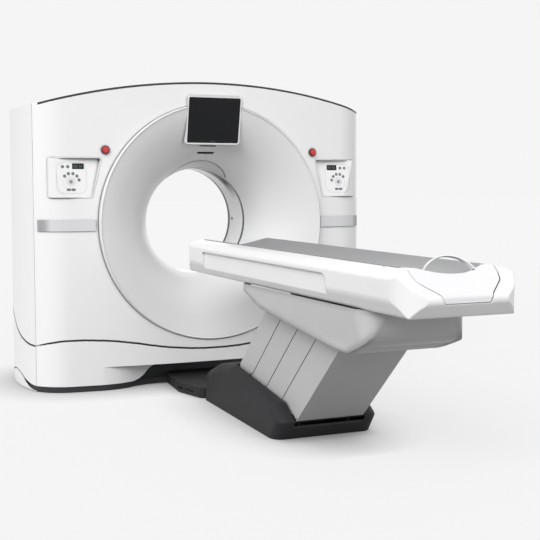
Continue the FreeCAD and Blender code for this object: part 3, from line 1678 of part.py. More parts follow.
def table_frame():
    high = hips_z() - slide_depth
    rail = box(rail_inner, rail_outer, rail_end, rail_start, rail_low_z, high)
    rail = rail.cut(box(rail_inner + rail_sheet, rail_outer - rail_sheet, -far - 500, far,
                        rail_low_z + rail_sheet, high - rail_sheet))
    rail = rail.fuse(slide_strip())
    crosses = []
    for place in cross_places:
        y = rail_start - place
        crosses.append(box(-rail_inner, rail_inner, y - cross_half, y + cross_half, rail_low_z, cross_high_z))
    first, last = upper_pivot(0), upper_pivot(3)
    under, root = 6 - boss_radius, rail_low_z + 1
    corners = [(last.y - 40, root), (last.y - boss_radius, last.z), (last.y, last.z + under),
               (first.y, first.z + under), (first.y + boss_radius, first.z), (first.y + 70, root)]
    web = across(path_face(side_view, corners[0], corners[1:]), bracket_inner, bracket_outer)
    for index in range(4):
        web = web.fuse(x_rod(boss_radius - 2, upper_pivot(index), bracket_inner, bracket_outer))
    y, z = drive_roller_y, roller_z()
    hanger = box(roller_half + 4, rail_inner + 1, y - hanger_half, y + hanger_half, z - hanger_half, z + 16)
    frame = joined(both_sides(rail) + both_sides(web) + crosses + pivot_shafts(upper_pivot)
                   + both_sides(hanger))
    axle = Vector(0, drive_roller_y, roller_z())
    return frame.cut(x_rod(roller_axle_radius + shaft_fit, axle, -far, far))


def roller_z():
    return cradle_belly_z - roller_gap - roller_radius


def drive_roller():
    centre = Vector(0, drive_roller_y, roller_z())
    barrel = x_rod(roller_radius, centre, -roller_half, roller_half)
    axle = x_rod(roller_axle_radius, centre, -rail_inner + 2, rail_inner - 2)
    return joined([barrel, axle])


def cradle_motor():
    """Motor and gear plate on a deck between the rails, close behind the drive roller."""
    y, z = drive_roller_y - cradle_motor_back, rail_low_z + cradle_motor_deck + cradle_motor_radius - 2
    half, reach = cradle_motor_half, cradle_motor_radius
    motor = x_rod(reach, Vector(0, y, z), -half, half + 1)
    plate = box(half, half + cradle_motor_plate, y - reach, drive_roller_y - roller_radius - cradle_motor_gap,
                rail_low_z, z + reach)
    deck = box(-rail_inner, rail_inner, y - reach - 16, y + reach + 16, rail_low_z,
               rail_low_z + cradle_motor_deck)
    return joined([motor, plate, deck])


def cradle_section():
    inner = cradle_half - cradle_rim_wall
    steps = [((0, cradle_dish_z), (inner, cradle_rim_z)), (cradle_half, cradle_rim_z),
             (cradle_half, cradle_rim_z - cradle_rim_height), (cradle_belly_half, cradle_belly_z),
             (-cradle_belly_half, cradle_belly_z), (-cradle_half, cradle_rim_z - cradle_rim_height),
             (-cradle_half, cradle_rim_z)]
    return path_face(front_view, (-inner, cradle_rim_z), steps)


def head_dip():
    """What the flat head end lacks, over its low platform."""
    start, end = (cradle_head_y - cradle_head_ramp, cradle_rim_z + 1), (cradle_head_y, cradle_head_z)
    steps = ease(start, end) + [(far, cradle_head_z), (far, far), (start[0], far)]
    return across(path_face(side_view, start, steps), -far, far)


def cradle():
    shell = along(cradle_section(), cradle_foot, 0)
    shell = shell.common(upward(tip_plan(cradle_half, cradle_tip, cradle_foot, tip_corner, 1), 0, far))
    shell = shell.cut(head_dip())
    low = cradle_belly_z + socket_floor
    socket = box(-socket_half, socket_half, cradle_tip - socket_depth, cradle_tip + 10,
                 low, low + socket_height)
    return shell.cut(socket)


def cap_profile(depth):
    """Everything under the cap's level top and its face, at a depth under them."""
    top, low = cradle_rim_z - cap_crown_drop - depth, cap_low_y + depth * 0.8
    corners = [(cradle_foot - 1, top, 0), (cap_crown_y, top, 45),
               (cap_brow_y, cradle_rim_z - cap_brow_depth - depth, 60), (low, cap_low_z + 28, 20),
               (low, 0, 0), (cradle_foot - 1, 0, 0)]
    return across(rounded_face(side_view, corners), -far, far)


def cap_dish(depth):
    """The cradle's dish as it runs out over the cap, lowered by a depth."""
    inner, top = cradle_half - cradle_rim_wall, cradle_rim_z
    steps = [((0, cradle_dish_z), (inner, top)), (inner, top + far), (-inner, top + far)]
    dish = along(path_face(front_view, (-inner, top), steps), cradle_foot - far, cradle_foot)
    rise = math.atan2(cradle_dish - cap_crown_dish, cradle_foot - cap_crown_y)
    return dish.rotated(Vector(0, cradle_foot, cradle_dish_z), Vector(1, 0, 0),
                        -math.degrees(rise)).translated(Vector(0, 0, -depth))


def cradle_end_cap():
    skin = cap_profile(0).cut(cap_dish(0)).cut(cap_profile(cap_wall).cut(cap_dish(cap_wall)))
    skin = skin.common(cap_outline(0))
    half = cap_waist_half - 20
    rib = box(-half, half, cradle_foot - 30, cradle_foot - 1, cradle_belly_z + 8, cradle_dish_z - 4)
    return joined([skin, rib]).cut(hoop_band(hoop_fit))


def hoop_band(grow):
    """A thin band bent into an arch, leaning a little towards the gantry at its top."""
    low = hoop_foot_z - hoop_root - grow

    def arch(half, top):
        steps = [((0, top), (half, hoop_foot_z)), (half, low), (-half, low), (-half, hoop_foot_z)]
        return path_face(front_view, (-half, hoop_foot_z), steps)

    band = arch(hoop_half + grow, hoop_top_z + grow)
    band = band.cut(arch(hoop_half - hoop_thick - grow, hoop_top_z - hoop_thick - grow))
    side = hoop_width / 2 + grow
    turn = math.degrees(math.atan2(hoop_lean, hoop_top_z - hoop_foot_z))
    hoop = along(band, hoop_foot_y - side, hoop_foot_y + side)
    return hoop.rotated(Vector(0, hoop_foot_y, hoop_foot_z), Vector(1, 0, 0), -turn)


# ---------------------------------------------------------------- the pieces
def pieces():
    shapes = {
        "base_weldment": base_weldment(),
        "stator_frame": stator_frame(),
        "bearing_outer_race": bearing_outer_race(),
        "drive_motor": drive_motor(),
        "drive_belt": drive_belt(),
        "brush_block": brush_block(),
        "cooling_fans": cooling_fans(),
        "power_cabinet": power_cabinet(),
        "plinth": plinth(),
        "front_cover": front_cover(),
        "rear_cover": rear_cover(),
        "side_covers": Part.makeCompound(both_sides(right_side_cover())),
        "lower_front_cover": lower_front_cover(),
        "lower_rear_cover": lower_rear_cover(),
        "lower_side_covers": Part.makeCompound(both_sides(lower_right_cover()) + both_sides(right_skirt())),
        "top_grille": top_grille(),
        "front_funnel": front_funnel(),
        "rear_funnel": rear_funnel(),
        "bore_trim_rings": Part.makeCompound([bore_trim(), turned_back(bore_trim())]),
        "scan_window": scan_window(),
        "breathing_light_panel": breathing_light_panel(),
        "laser_window": laser_window(),
        "monitor_housing": monitor_housing(),
        "monitor_screen": monitor_screen(),
        "trim_bands": Part.makeCompound(both_sides(left_trim_band())),
        "control_panels": Part.makeCompound(both_sides(left_control_panel())),
        "panel_displays": Part.makeCompound(both_sides(left_panel_display())),
        "stop_collars": Part.makeCompound(both_sides(left_stop_collar())),
        "left_stop_button": left_stop_button(),
        "right_stop_button": mirrored(left_stop_button()),
        "left_start_key": left_start_key(),
        "right_start_key": mirrored(left_start_key()),
        "rotor_drum": rotor_drum(),
        "bearing_inner_race": bearing_inner_race(),
        "slip_ring": slip_ring(),
        "x_ray_tube": x_ray_tube(),
        "collimator": collimator(),
        "detector_array": detector_array(),
        "hv_generator": hv_generator(),
        "heat_exchanger": heat_exchanger(),
        "balance_weights": balance_weights(),
        "motor_pulley": motor_pulley(),
        "floor_link_cover": floor_link_cover(),
        "table_base_cover": table_base_cover(),
        "table_base_frame": table_base_frame(),
        "lift_gearmotor": lift_gearmotor(),
        "front_lift_arms": lift_arms(3, open_fit),
        "front_slat": front_slat(),
        "rear_lift_arms": lift_arms(0, shaft_fit, backed=True),
        "rear_slat": slat_pair(0, slat_back_last),
        "front_middle_slats": slat_pair(2, slat_back),
        "rear_middle_slats": slat_pair(1, slat_back),
        "table_body_shell": table_body_shell(),
        "table_shroud": table_shroud(),
        "table_frame": table_frame(),
        "drive_roller": drive_roller(),
        "cradle_motor": cradle_motor(),
        "cradle": cradle(),
        "cradle_end_cap": cradle_end_cap(),
        "hoop_handle": hoop_band(0),
    }
    return shapes


def main():
    os.makedirs("parts", exist_ok=True)
    for name, shape in pieces().items():
        shape.exportStep(f"parts/{name}.step")
        print(name, len(shape.Solids), round(shape.Volume / 1e6, 2))


main()
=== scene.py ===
# %% [markdown]
# # A CT scanner, dressed in Blender
# The solid model already holds the scanner's shapes and the way they move. What is left for Blender is
# what a visitor to the scan room would see: lacquer, film, rubber and steel, the keys on the two control
# panels, and light that lets white covers read as white without burning out.

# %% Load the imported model
import json
import math
import bmesh
import bpy
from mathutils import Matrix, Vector


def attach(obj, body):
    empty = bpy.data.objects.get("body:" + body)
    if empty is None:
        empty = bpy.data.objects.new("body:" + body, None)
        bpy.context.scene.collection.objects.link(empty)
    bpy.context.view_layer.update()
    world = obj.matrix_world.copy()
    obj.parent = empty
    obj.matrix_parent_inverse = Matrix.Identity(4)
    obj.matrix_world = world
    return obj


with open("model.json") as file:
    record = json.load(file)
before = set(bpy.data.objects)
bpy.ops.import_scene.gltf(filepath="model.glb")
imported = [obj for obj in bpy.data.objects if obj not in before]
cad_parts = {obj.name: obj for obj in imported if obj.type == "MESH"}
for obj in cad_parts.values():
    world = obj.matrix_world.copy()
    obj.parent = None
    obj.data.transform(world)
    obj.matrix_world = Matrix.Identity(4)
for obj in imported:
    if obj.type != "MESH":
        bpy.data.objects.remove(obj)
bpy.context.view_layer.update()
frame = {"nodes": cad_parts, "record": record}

record = frame["record"]
SIDES = ((-1, "left"), (1, "right"))

# %% [markdown]
# ## The camera
# The photograph was taken from beside the table's foot, a little above waist height, with a lens long
# enough to keep the gantry's sides nearly upright. Its place and turn were worked out from edges that
# must be parallel or round. A camera looks down its own -Z, so 90 degrees about X would be level.

# %% Stand where the photographer stood
CAMERA_PLACE = (-2.4451, -6.8910, 1.3050)
CAMERA_PITCH_DOWN = 4.775
CAMERA_YAW = 23.902
SENSOR_WIDTH, FOCAL_LENGTH = 36.0, 71.12     # in millimetres
camera_data = bpy.data.cameras.new("photo_camera")
camera_data.sensor_fit = "HORIZONTAL"
camera_data.sensor_width = SENSOR_WIDTH
camera_data.lens = FOCAL_LENGTH
camera = bpy.data.objects.new("photo_camera", camera_data)
camera.location = CAMERA_PLACE
camera.rotation_euler = [math.radians(a) for a in (90 - CAMERA_PITCH_DOWN, 0, -CAMERA_YAW)]
bpy.context.scene.collection.objects.link(camera)
bpy.context.scene.camera = camera
bpy.context.scene.view_settings.view_transform = "Standard"
print("camera at", CAMERA_PLACE, "lens", FOCAL_LENGTH, "mm")

# %% [markdown]
# ## Building shaders from small parts
# Every material below is a short chain of nodes, and many share an effect. These helpers place a node,
# set its inputs and wire it, so that each recipe reads as a list of steps.

# %% Place a node and wire it
def set_inputs(node, values):
    """Sets each named input to a number or a colour, or wires it to another node's output."""
    for key, value in values.items():
        socket = node.inputs[key]
        if isinstance(value, bpy.types.NodeSocket):
            socket.id_data.links.new(value, socket)
        else:
            socket.default_value = value


def add(tree, kind, inputs=None, **settings):
    node = tree.nodes.new(kind)
    for name, value in settings.items():
        setattr(node, name, value)
    set_inputs(node, inputs or {})
    return node


print("add() places a node and set_inputs() wires it")

# %% Values, masks and colours from nodes
def maths(tree, operation, a, b=0.0, clamp=False):
    node = add(tree, "ShaderNodeMath", {0: a, 1: b}, operation=operation, use_clamp=clamp)
    return node.outputs[0]


def spread(tree, value, low, high):
    """Stretches a 0 to 1 value over a new range."""
    return add(tree, "ShaderNodeMapRange", {"Value": value, "To Min": low, "To Max": high}).outputs[0]


def ramp(tree, value, start, end):
    """0 before start and 1 past end; start may be the larger of the two."""
    return add(tree, "ShaderNodeMapRange", {"Value": value, "From Min": start, "From Max": end}).outputs[0]


def noise(tree, inputs):
    return add(tree, "ShaderNodeTexNoise", inputs).outputs["Fac"]


def object_spot(tree):
    """Where the shaded point is, in metres from the model's origin."""
    return add(tree, "ShaderNodeTexCoord").outputs["Object"]


def blend_colours(tree, share, first, second, mode="MIX"):
    """The first colour where share is 0; where it is 1, the second, or with MULTIPLY their product."""
    node = add(tree, "ShaderNodeMix", data_type="RGBA", blend_type=mode)
    set_inputs(node, {0: share, 6: first, 7: second})
    return node.outputs[2]


print("values, masks and colours ready")

# %% Groups that several materials share
def new_group(name, inputs, outputs):
    """A shader node group with named sockets; returns its tree, its inside inputs and its output node."""
    tree = bpy.data.node_groups.new(name, "ShaderNodeTree")
    for label, kind, value in inputs:
        socket = tree.interface.new_socket(label, in_out="INPUT", socket_type="NodeSocket" + kind)
        socket.default_value = value
    for label, kind in outputs:
        tree.interface.new_socket(label, in_out="OUTPUT", socket_type="NodeSocket" + kind)
    inside = tree.nodes.new("NodeGroupInput").outputs
    return tree, inside, tree.nodes.new("NodeGroupOutput")


def place_group(tree, name, inputs):
    """Places a shared group in a material and returns its outputs."""
    node = tree.nodes.new("ShaderNodeGroup")
    node.node_tree = bpy.data.node_groups[name]
    set_inputs(node, inputs)
    return node.outputs


print("group helpers ready")

# %% [markdown]
# ## Shared effect: a moulded skin
# Gloss lacquer on a moulded cover is never a mirror. It has a fine orange peel, a slow drift of tone over
# an arm's length, and patches that many hands and wipes have left a shade duller. One group makes the
# three from noise at three sizes, and each plastic or paint sets its own amounts.

# %% The moulded_skin group
DRIFT_SCALE, WIPED_SCALE = 1.7, 9.0          # the larger, the smaller are the patches
PEEL_SHARE = 0.35                            # how much of the tone's change is the orange peel's
tree, given, result = new_group(
    "moulded_skin",
    [("Colour", "Color", (0.8, 0.8, 0.8, 1)), ("Drift", "Float", 0.03), ("Peel Scale", "Float", 700.0),
     ("Roughness", "Float", 0.3), ("Roughness Spread", "Float", 0.1)],
    [("Colour", "Color"), ("Roughness", "Float"), ("Height", "Float")])
spot = object_spot(tree)
slow = noise(tree, {"Vector": spot, "Scale": DRIFT_SCALE, "Detail": 3.0})
wiped = noise(tree, {"Vector": spot, "Scale": WIPED_SCALE, "Detail": 5.0, "Roughness": 0.6})
peel = noise(tree, {"Vector": spot, "Scale": given["Peel Scale"], "Detail": 2.0})
speck = maths(tree, "MULTIPLY", maths(tree, "SUBTRACT", peel, 0.5), PEEL_SHARE)
tone = maths(tree, "ADD", maths(tree, "SUBTRACT", slow, 0.5), speck)
tone = maths(tree, "ADD", maths(tree, "MULTIPLY", tone, given["Drift"]), 1.0)
grey = add(tree, "ShaderNodeCombineColor", {0: tone, 1: tone, 2: tone}).outputs[0]
tinted = blend_colours(tree, 1.0, given["Colour"], grey, "MULTIPLY")
off = maths(tree, "MULTIPLY", maths(tree, "SUBTRACT", wiped, 0.5), given["Roughness Spread"])
set_inputs(result, {"Colour": tinted, "Roughness": maths(tree, "ADD", given["Roughness"], off, True),
                    "Height": peel})
print("moulded_skin has", len(tree.nodes), "nodes")

# %% [markdown]
# ## Shared effect: edges
# An edge is where paint is thinnest and where things brush past. The Bevel node answers "what would the
# normal be if this edge were rounded"; where that differs from the plain normal there is an edge. The
# same rounded normal also gives each sharp solid edge the small highlight that a real one has.

# %% The worn_edges group
EDGE_GAIN = 9.0              # a normal that turns by 27 degrees counts as a full edge
WEAR_SCALE = 28.0
tree, given, result = new_group(
    "worn_edges", [("Radius", "Float", 0.002), ("Patchiness", "Float", 0.5)],
    [("Mask", "Float"), ("Normal", "Vector")])
rounded = add(tree, "ShaderNodeBevel", {"Radius": given["Radius"]}, samples=6).outputs[0]
plain = add(tree, "ShaderNodeNewGeometry").outputs["Normal"]
turned = add(tree, "ShaderNodeVectorMath", {0: rounded, 1: plain}, operation="DOT_PRODUCT").outputs["Value"]
edge = maths(tree, "MULTIPLY", maths(tree, "SUBTRACT", 1.0, turned), EDGE_GAIN, True)
worn = noise(tree, {"Vector": object_spot(tree), "Scale": WEAR_SCALE, "Detail": 6.0})
patches = spread(tree, worn, 0.4, 1.6)
uneven = maths(tree, "MULTIPLY", maths(tree, "SUBTRACT", patches, 1.0), given["Patchiness"])
kept = maths(tree, "ADD", uneven, 1.0)
set_inputs(result, {"Mask": maths(tree, "MULTIPLY", edge, kept, True), "Normal": rounded})
print("worn_edges has", len(tree.nodes), "nodes")

# %% [markdown]
# ## Shared effect: dust
# Dust settles on what faces up and stays where nobody wipes: on the table's base, the floor plate and
# the frames inside. The group compares the normal with straight up and breaks the result with noise.

# %% The settled_dust group
tree, given, result = new_group("settled_dust", [("Amount", "Float", 0.3), ("Scale", "Float", 14.0)],
                                [("Mask", "Float")])
normal = add(tree, "ShaderNodeNewGeometry").outputs["Normal"]
upright = add(tree, "ShaderNodeSeparateXYZ", {0: normal}).outputs["Z"]
facing = maths(tree, "POWER", maths(tree, "MAXIMUM", upright, 0.0), 2.0)
clumps = noise(tree, {"Vector": object_spot(tree), "Scale": given["Scale"], "Detail": 8.0, "Roughness": 0.7})
mask = maths(tree, "MULTIPLY", facing, spread(tree, clumps, 0.2, 1.3))
set_inputs(result, {"Mask": maths(tree, "MULTIPLY", mask, given["Amount"], True)})
print("settled_dust has", len(tree.nodes), "nodes")

# %% [markdown]
# ## Shared effect: shadow gaps
# The covers meet over grooves a finger wide, and the slats slide past each other in narrow steps. Soft light
# can't reach there, so the finishes paint those places darker: painted shade. The Ambient Occlusion node
# finds
# such places: it asks how much of the view out of a point is blocked close by.

# %% The shadow_gaps group
OPEN_SHARE = 0.93            # a point that sees this much of its surroundings isn't in a gap
tree, given, result = new_group("shadow_gaps", [("Distance", "Float", 0.02), ("Gain", "Float", 1.5)],
                                [("Mask", "Float")])
view = add(tree, "ShaderNodeAmbientOcclusion", {"Distance": given["Distance"]}, samples=6).outputs["AO"]
blocked = maths(tree, "SUBTRACT", OPEN_SHARE, view)
set_inputs(result, {"Mask": maths(tree, "MULTIPLY", blocked, given["Gain"], True)})
print("shadow_gaps has", len(tree.nodes), "nodes")

# %% [markdown]
# ## Shared effect: drawn lines
# Turned, milled and brushed metal all carry fine parallel lines. Noise squeezed hard along two axes and
# long on the third gives them, as a height for the bump and as a small change of roughness.

# %% The drawn_lines group
tree, given, result = new_group(
    "drawn_lines", [("Stretch", "Vector", (1.0, 60.0, 60.0)), ("Scale", "Float", 20.0)],
    [("Height", "Float"), ("Roughness", "Float")])
factors = {0: object_spot(tree), 1: given["Stretch"]}
squeezed = add(tree, "ShaderNodeVectorMath", factors, operation="MULTIPLY").outputs[0]
lines = noise(tree, {"Vector": squeezed, "Scale": given["Scale"], "Detail": 4.0})
set_inputs(result, {"Height": lines, "Roughness": spread(tree, lines, 0.22, 0.5)})
print("drawn_lines has", len(tree.nodes), "nodes")

# %% [markdown]
# ## The coated finishes
# Covers, trim, keys and painted sheet differ in colour, gloss and how much a hand has changed them, and
# not in kind. One function makes them all from the shared effects: skin, then edges, then painted shade in
# the gaps, then dust, and one Principled shader whose fixed numbers sit on its own sockets.

# %% A coated finish
# the colour below is painted shade for the grooves and creases that the shadow_gaps mask finds
GAP_SHADE = (0.05, 0.05, 0.052)
DUST = (0.5, 0.49, 0.47)
GRAIN_DEPTH = 0.001          # metres that a full bump stands for
DUST_ROUGHENS, COAT_ROUGHNESS = 0.3, 0.08
finishes = {}


def start_material(name):
    """A new finish; returns its node tree and its shader."""
    material = bpy.data.materials.new(name)
    material.use_nodes = True
    tree = material.node_tree
    finishes[name] = material
    return tree, tree.nodes["Principled BSDF"]


def coated(name, colour, roughness, drift=0.03, peel_scale=700.0, peel=0.05, roughness_spread=0.1,
           edge_colour=None, edge_share=0.5, edge_radius=0.0015, patchiness=0.5, dust=0.0, coat=0.0,
           metallic=0.0, specular=0.5, gap=0.0, gap_reach=0.02):
    tree, shader = start_material(name)
    skin = place_group(tree, "moulded_skin", {
        "Colour": (*colour, 1), "Drift": drift, "Peel Scale": peel_scale, "Roughness": roughness,
        "Roughness Spread": roughness_spread})
    edges = place_group(tree, "worn_edges", {"Radius": edge_radius, "Patchiness": patchiness})
    shade = skin["Colour"]
    if edge_colour:
        share = maths(tree, "MULTIPLY", edges["Mask"], edge_share)
        shade = blend_colours(tree, share, shade, (*edge_colour, 1))
    # painted shade: the colour darkens where the shadow_gaps mask finds a groove or crease
    if gap:
        mask = place_group(tree, "shadow_gaps", {"Distance": gap_reach})["Mask"]
        shade = blend_colours(tree, maths(tree, "MULTIPLY", mask, gap), shade, (*GAP_SHADE, 1))
    rough = skin["Roughness"]
    if dust:
        settled = place_group(tree, "settled_dust", {"Amount": dust})["Mask"]
        shade = blend_colours(tree, settled, shade, (*DUST, 1))
        rough = maths(tree, "ADD", rough, maths(tree, "MULTIPLY", settled, DUST_ROUGHENS), True)
    bump = add(tree, "ShaderNodeBump", {"Strength": peel, "Distance": GRAIN_DEPTH, "Height": skin["Height"],
                                        "Normal": edges["Normal"]})
    set_inputs(shader, {"Base Color": shade, "Roughness": rough, "Normal": bump.outputs[0],
                        "Metallic": metallic, "Coat Weight": coat, "Coat Roughness": COAT_ROUGHNESS,
                        "Specular IOR Level": specular})
    return finishes[name]


print("coated() makes lacquer, moulded plastic and powder coat")

# %% [markdown]
# ## Colours of this scanner
# The covers are one white. The table body, its foot cap and the funnels are the same plastic. The body and
# the cap have rounder edges and finer joints, so they have entries of their own, and the cap's colour, like
# the funnels', is a darker copy of the white: painted shade, on the cap against the extra light on its upward
# face and in the hollow funnels. The table's base and the floor link's cover are charcoal, the gantry's
# grille and plinth black, the pedestal and the shroud two greys, and the stops are the only strong colour on
# the machine.

# %% Covers, trim and paint
coated("cover_white", (0.872, 0.872, 0.875), 0.32, drift=0.02, coat=0.2, edge_colour=(0.9, 0.9, 0.91),
       gap=0.9)
coated("table_white", (0.88, 0.88, 0.883), 0.34, drift=0.02, coat=0.15, edge_radius=0.012, gap=0.5,
       gap_reach=0.008)
# a darker copy of the table's white: painted shade against the extra light on the cap's upward face
coated("cap_shaded_white", (0.83, 0.832, 0.84), 0.36, drift=0.02, edge_colour=(0.88, 0.88, 0.89), gap=0.9,
       gap_reach=0.008)
coated("trim_black", (0.018, 0.019, 0.021), 0.42, drift=0.25, peel_scale=900, peel=0.12,
       edge_colour=(0.09, 0.09, 0.095))
coated("screen_black", (0.008, 0.0085, 0.01), 0.2, drift=0.2, peel=0.01, roughness_spread=0.12, specular=0.2)
# a darker copy of the cover white: painted shade in the hollow funnels
coated("funnel_shaded_white", (0.79, 0.79, 0.793), 0.34, drift=0.02, coat=0.15, gap=0.9)
coated("light_panel", (0.70, 0.71, 0.72), 0.25, drift=0.03, peel=0.02, coat=0.2,
       edge_colour=(0.03, 0.03, 0.03), edge_share=1.0, edge_radius=0.005, patchiness=0.0)
coated("window_film", (0.86, 0.862, 0.866), 0.2, drift=0.04, peel=0.03, coat=0.2)
coated("ring_black", (0.02, 0.021, 0.024), 0.18, drift=0.2, peel=0.02, coat=0.1, specular=0.35)
coated("band_silver", (0.68, 0.685, 0.70), 0.34, drift=0.04, peel_scale=1200, metallic=0.15,
       edge_colour=(0.8, 0.8, 0.81))
coated("collar_red", (0.13, 0.006, 0.008), 0.3, coat=0.4)
coated("button_red", (0.60, 0.02, 0.02), 0.3, coat=0.2, edge_colour=(0.14, 0.004, 0.005), edge_share=1.0,
       edge_radius=0.007, patchiness=0.0)
coated("key_grey", (0.36, 0.38, 0.41), 0.4, edge_colour=(0.6, 0.61, 0.63))
coated("base_charcoal", (0.017, 0.0175, 0.019), 0.6, drift=0.25, peel_scale=420, peel=0.3,
       edge_colour=(0.06, 0.06, 0.065), edge_share=0.35, edge_radius=0.012, dust=0.01, specular=0.25)
coated("slat_paint", (0.505, 0.506, 0.512), 0.42, drift=0.05, peel_scale=1100, peel=0.1,
       edge_colour=(0.62, 0.62, 0.63), gap=0.9, gap_reach=0.014)
coated("shroud_grey", (0.55, 0.551, 0.557), 0.4, drift=0.04, peel=0.08, edge_radius=0.05)
coated("cradle_grey", (0.25, 0.251, 0.257), 0.45, drift=0.08, peel_scale=1300, peel=0.12,
       edge_colour=(0.5, 0.5, 0.51), edge_share=0.3)
coated("frame_paint", (0.06, 0.064, 0.07), 0.5, drift=0.2, peel_scale=800, peel=0.3,
       edge_colour=(0.3, 0.3, 0.3), edge_share=0.5, dust=0.25)
coated("motor_paint", (0.11, 0.12, 0.14), 0.45, drift=0.15, peel=0.2, edge_colour=(0.35, 0.35, 0.36),
       dust=0.2)
coated("module_plastic", (0.045, 0.05, 0.06), 0.5, drift=0.2, peel=0.25, dust=0.15)
coated("cabinet_paint", (0.42, 0.44, 0.46), 0.5, drift=0.06, peel=0.2, edge_colour=(0.6, 0.6, 0.61),
       dust=0.1)
coated("slot_black", (0.006, 0.006, 0.007), 0.5, drift=0.2, peel=0.02, specular=0.08)
coated("belt_rubber", (0.02, 0.02, 0.02), 0.75, drift=0.3, peel_scale=500, peel=0.5)
print(len(finishes), "coated finishes")

# %% [markdown]
# ## The trim bands' outer ends
# Each raised band is satin silver and ends, round the gantry's corner, in a stretch with fine grooves that
# reads darker. A wave texture across X draws the grooves; a ramp on the distance from the middle says
# where they start.

# %% Grooves at the bands' ends
GROOVES_START, GROOVES_FULL = 1.035, 1.075   # distances from the scanner's middle
GROOVE_SCALE, GROOVE_FAINT, GROOVE_STRONG = 50.0, 0.45, 0.85
GROOVE_DARK = (0.16, 0.16, 0.17)


def along(tree, axis):
    """How far the shaded point is along one axis."""
    return add(tree, "ShaderNodeSeparateXYZ", {0: object_spot(tree)}).outputs[axis]


def overprint(name, share, colour):
    """Lays a colour over a finish's own, in full where share is 1."""
    tree = finishes[name].node_tree
    shader = tree.nodes["Principled BSDF"]
    own = shader.inputs["Base Color"].links[0].from_socket
    set_inputs(shader, {"Base Color": blend_colours(tree, share, own, (*colour, 1))})
    return shader


tree = finishes["band_silver"].node_tree
end = ramp(tree, maths(tree, "ABSOLUTE", along(tree, "X")), GROOVES_START, GROOVES_FULL)
waves = add(tree, "ShaderNodeTexWave", {"Vector": object_spot(tree), "Scale": GROOVE_SCALE},
            bands_direction="X")
grooves = spread(tree, waves.outputs["Fac"], GROOVE_FAINT, GROOVE_STRONG)
overprint("band_silver", maths(tree, "MULTIPLY", end, grooves), GROOVE_DARK)
print("grooves begin", GROOVES_START, "m from the middle")

# %% [markdown]
# ## The scan window's painted dark reflection
# The clear film over the scan plane carries a painted reflection: a dark band near its front edge, widest
# where the film passes over the patient's head and fading out at the height of the shoulders, so a ramp on
# the height and a ramp on the depth multiply into its mask. The painted reflection is matt, so the mask takes
# the film's gloss too.

# %% Painted dark reflection at the top of the window
REFLECTION_FADES, REFLECTION_FULL = 1.17, 1.29       # heights over the floor
REFLECTION_SOLID, REFLECTION_ENDS = 0.08, 0.14       # depths behind the window's front edge
DARK_REFLECTION, DARK_REFLECTION_SHARE = (0.02, 0.02, 0.022), 0.96

window = frame["nodes"]["scan_window"]
window_front = min((window.matrix_world @ Vector(corner)).y for corner in window.bound_box)
tree = finishes["window_film"].node_tree
# painted reflection: the film darkens at the top, near its front edge
high = ramp(tree, along(tree, "Z"), REFLECTION_FADES, REFLECTION_FULL)
near = ramp(tree, along(tree, "Y"), window_front + REFLECTION_ENDS, window_front + REFLECTION_SOLID)
share = maths(tree, "MULTIPLY", maths(tree, "MULTIPLY", high, near), DARK_REFLECTION_SHARE)
clear = maths(tree, "SUBTRACT", 1.0, share)
shader = overprint("window_film", share, DARK_REFLECTION)
for gloss in ("Specular IOR Level", "Coat Weight"):
    own = shader.inputs[gloss].default_value
    set_inputs(shader, {gloss: maths(tree, "MULTIPLY", clear, own)})
print("window's front edge is at y =", round(window_front, 3))

# %% [markdown]
# ## Bare metal
# The hoop handle, races and castings aren't coated. Their roughness follows the lines that the tool left,
# and the bump reads the same lines, so the highlight breaks up along them.

# %% A bare metal finish
EDGE_BRIGHTENS = 1.25


def bare_metal(name, colour, stretch, scale=20.0, line_bump=0.12, edge_radius=0.001):
    tree, shader = start_material(name)
    lines = place_group(tree, "drawn_lines", {"Stretch": stretch, "Scale": scale})
    skin = place_group(tree, "moulded_skin", {"Colour": (*colour, 1), "Drift": 0.12, "Roughness": 0.35})
    edges = place_group(tree, "worn_edges", {"Radius": edge_radius})
    rubbed = [min(1, channel * EDGE_BRIGHTENS) for channel in colour]
    shade = blend_colours(tree, edges["Mask"], skin["Colour"], (*rubbed, 1))
    bump = add(tree, "ShaderNodeBump", {"Strength": line_bump, "Distance": GRAIN_DEPTH,
                                        "Height": lines["Height"], "Normal": edges["Normal"]})
    set_inputs(shader, {"Base Color": shade, "Roughness": lines["Roughness"], "Metallic": 1.0,
                        "Normal": bump.outputs[0]})
    return finishes[name]


bare_metal("handle_metal", (0.72, 0.73, 0.74), (1.0, 50.0, 50.0))
bare_metal("machined_steel", (0.5, 0.5, 0.49), (40.0, 1.0, 40.0))
bare_metal("cast_aluminium", (0.52, 0.53, 0.54), (6.0, 6.0, 6.0), scale=60.0, line_bump=0.3)
bare_metal("contact_brass", (0.62, 0.43, 0.16), (40.0, 1.0, 40.0))
print(len(finishes), "finishes in all")

# %% [markdown]
# ## Which piece wears what
# The solid model's record names a finish for each piece. Five pieces get an entry that is made for them:
# the table's moulded body and foot cap, the two funnels, and the laser's window, which is a dark slot.

# %% Give every CAD node its finish
OWN_FINISH = {"table_body_shell": "table_white", "cradle_end_cap": "cap_shaded_white", "laser_window": "slot_black",
              "front_funnel": "funnel_shaded_white", "rear_funnel": "funnel_shaded_white"}

for subpart in record["subparts"]:
    finish = OWN_FINISH.get(subpart["node"], subpart["material_slot"])
    slots = frame["nodes"][subpart["node"]].data.materials
    slots.clear()
    slots.append(finishes[finish])
print("finishes placed on", len(record["subparts"]), "nodes,", len(OWN_FINISH), "of them in their own")

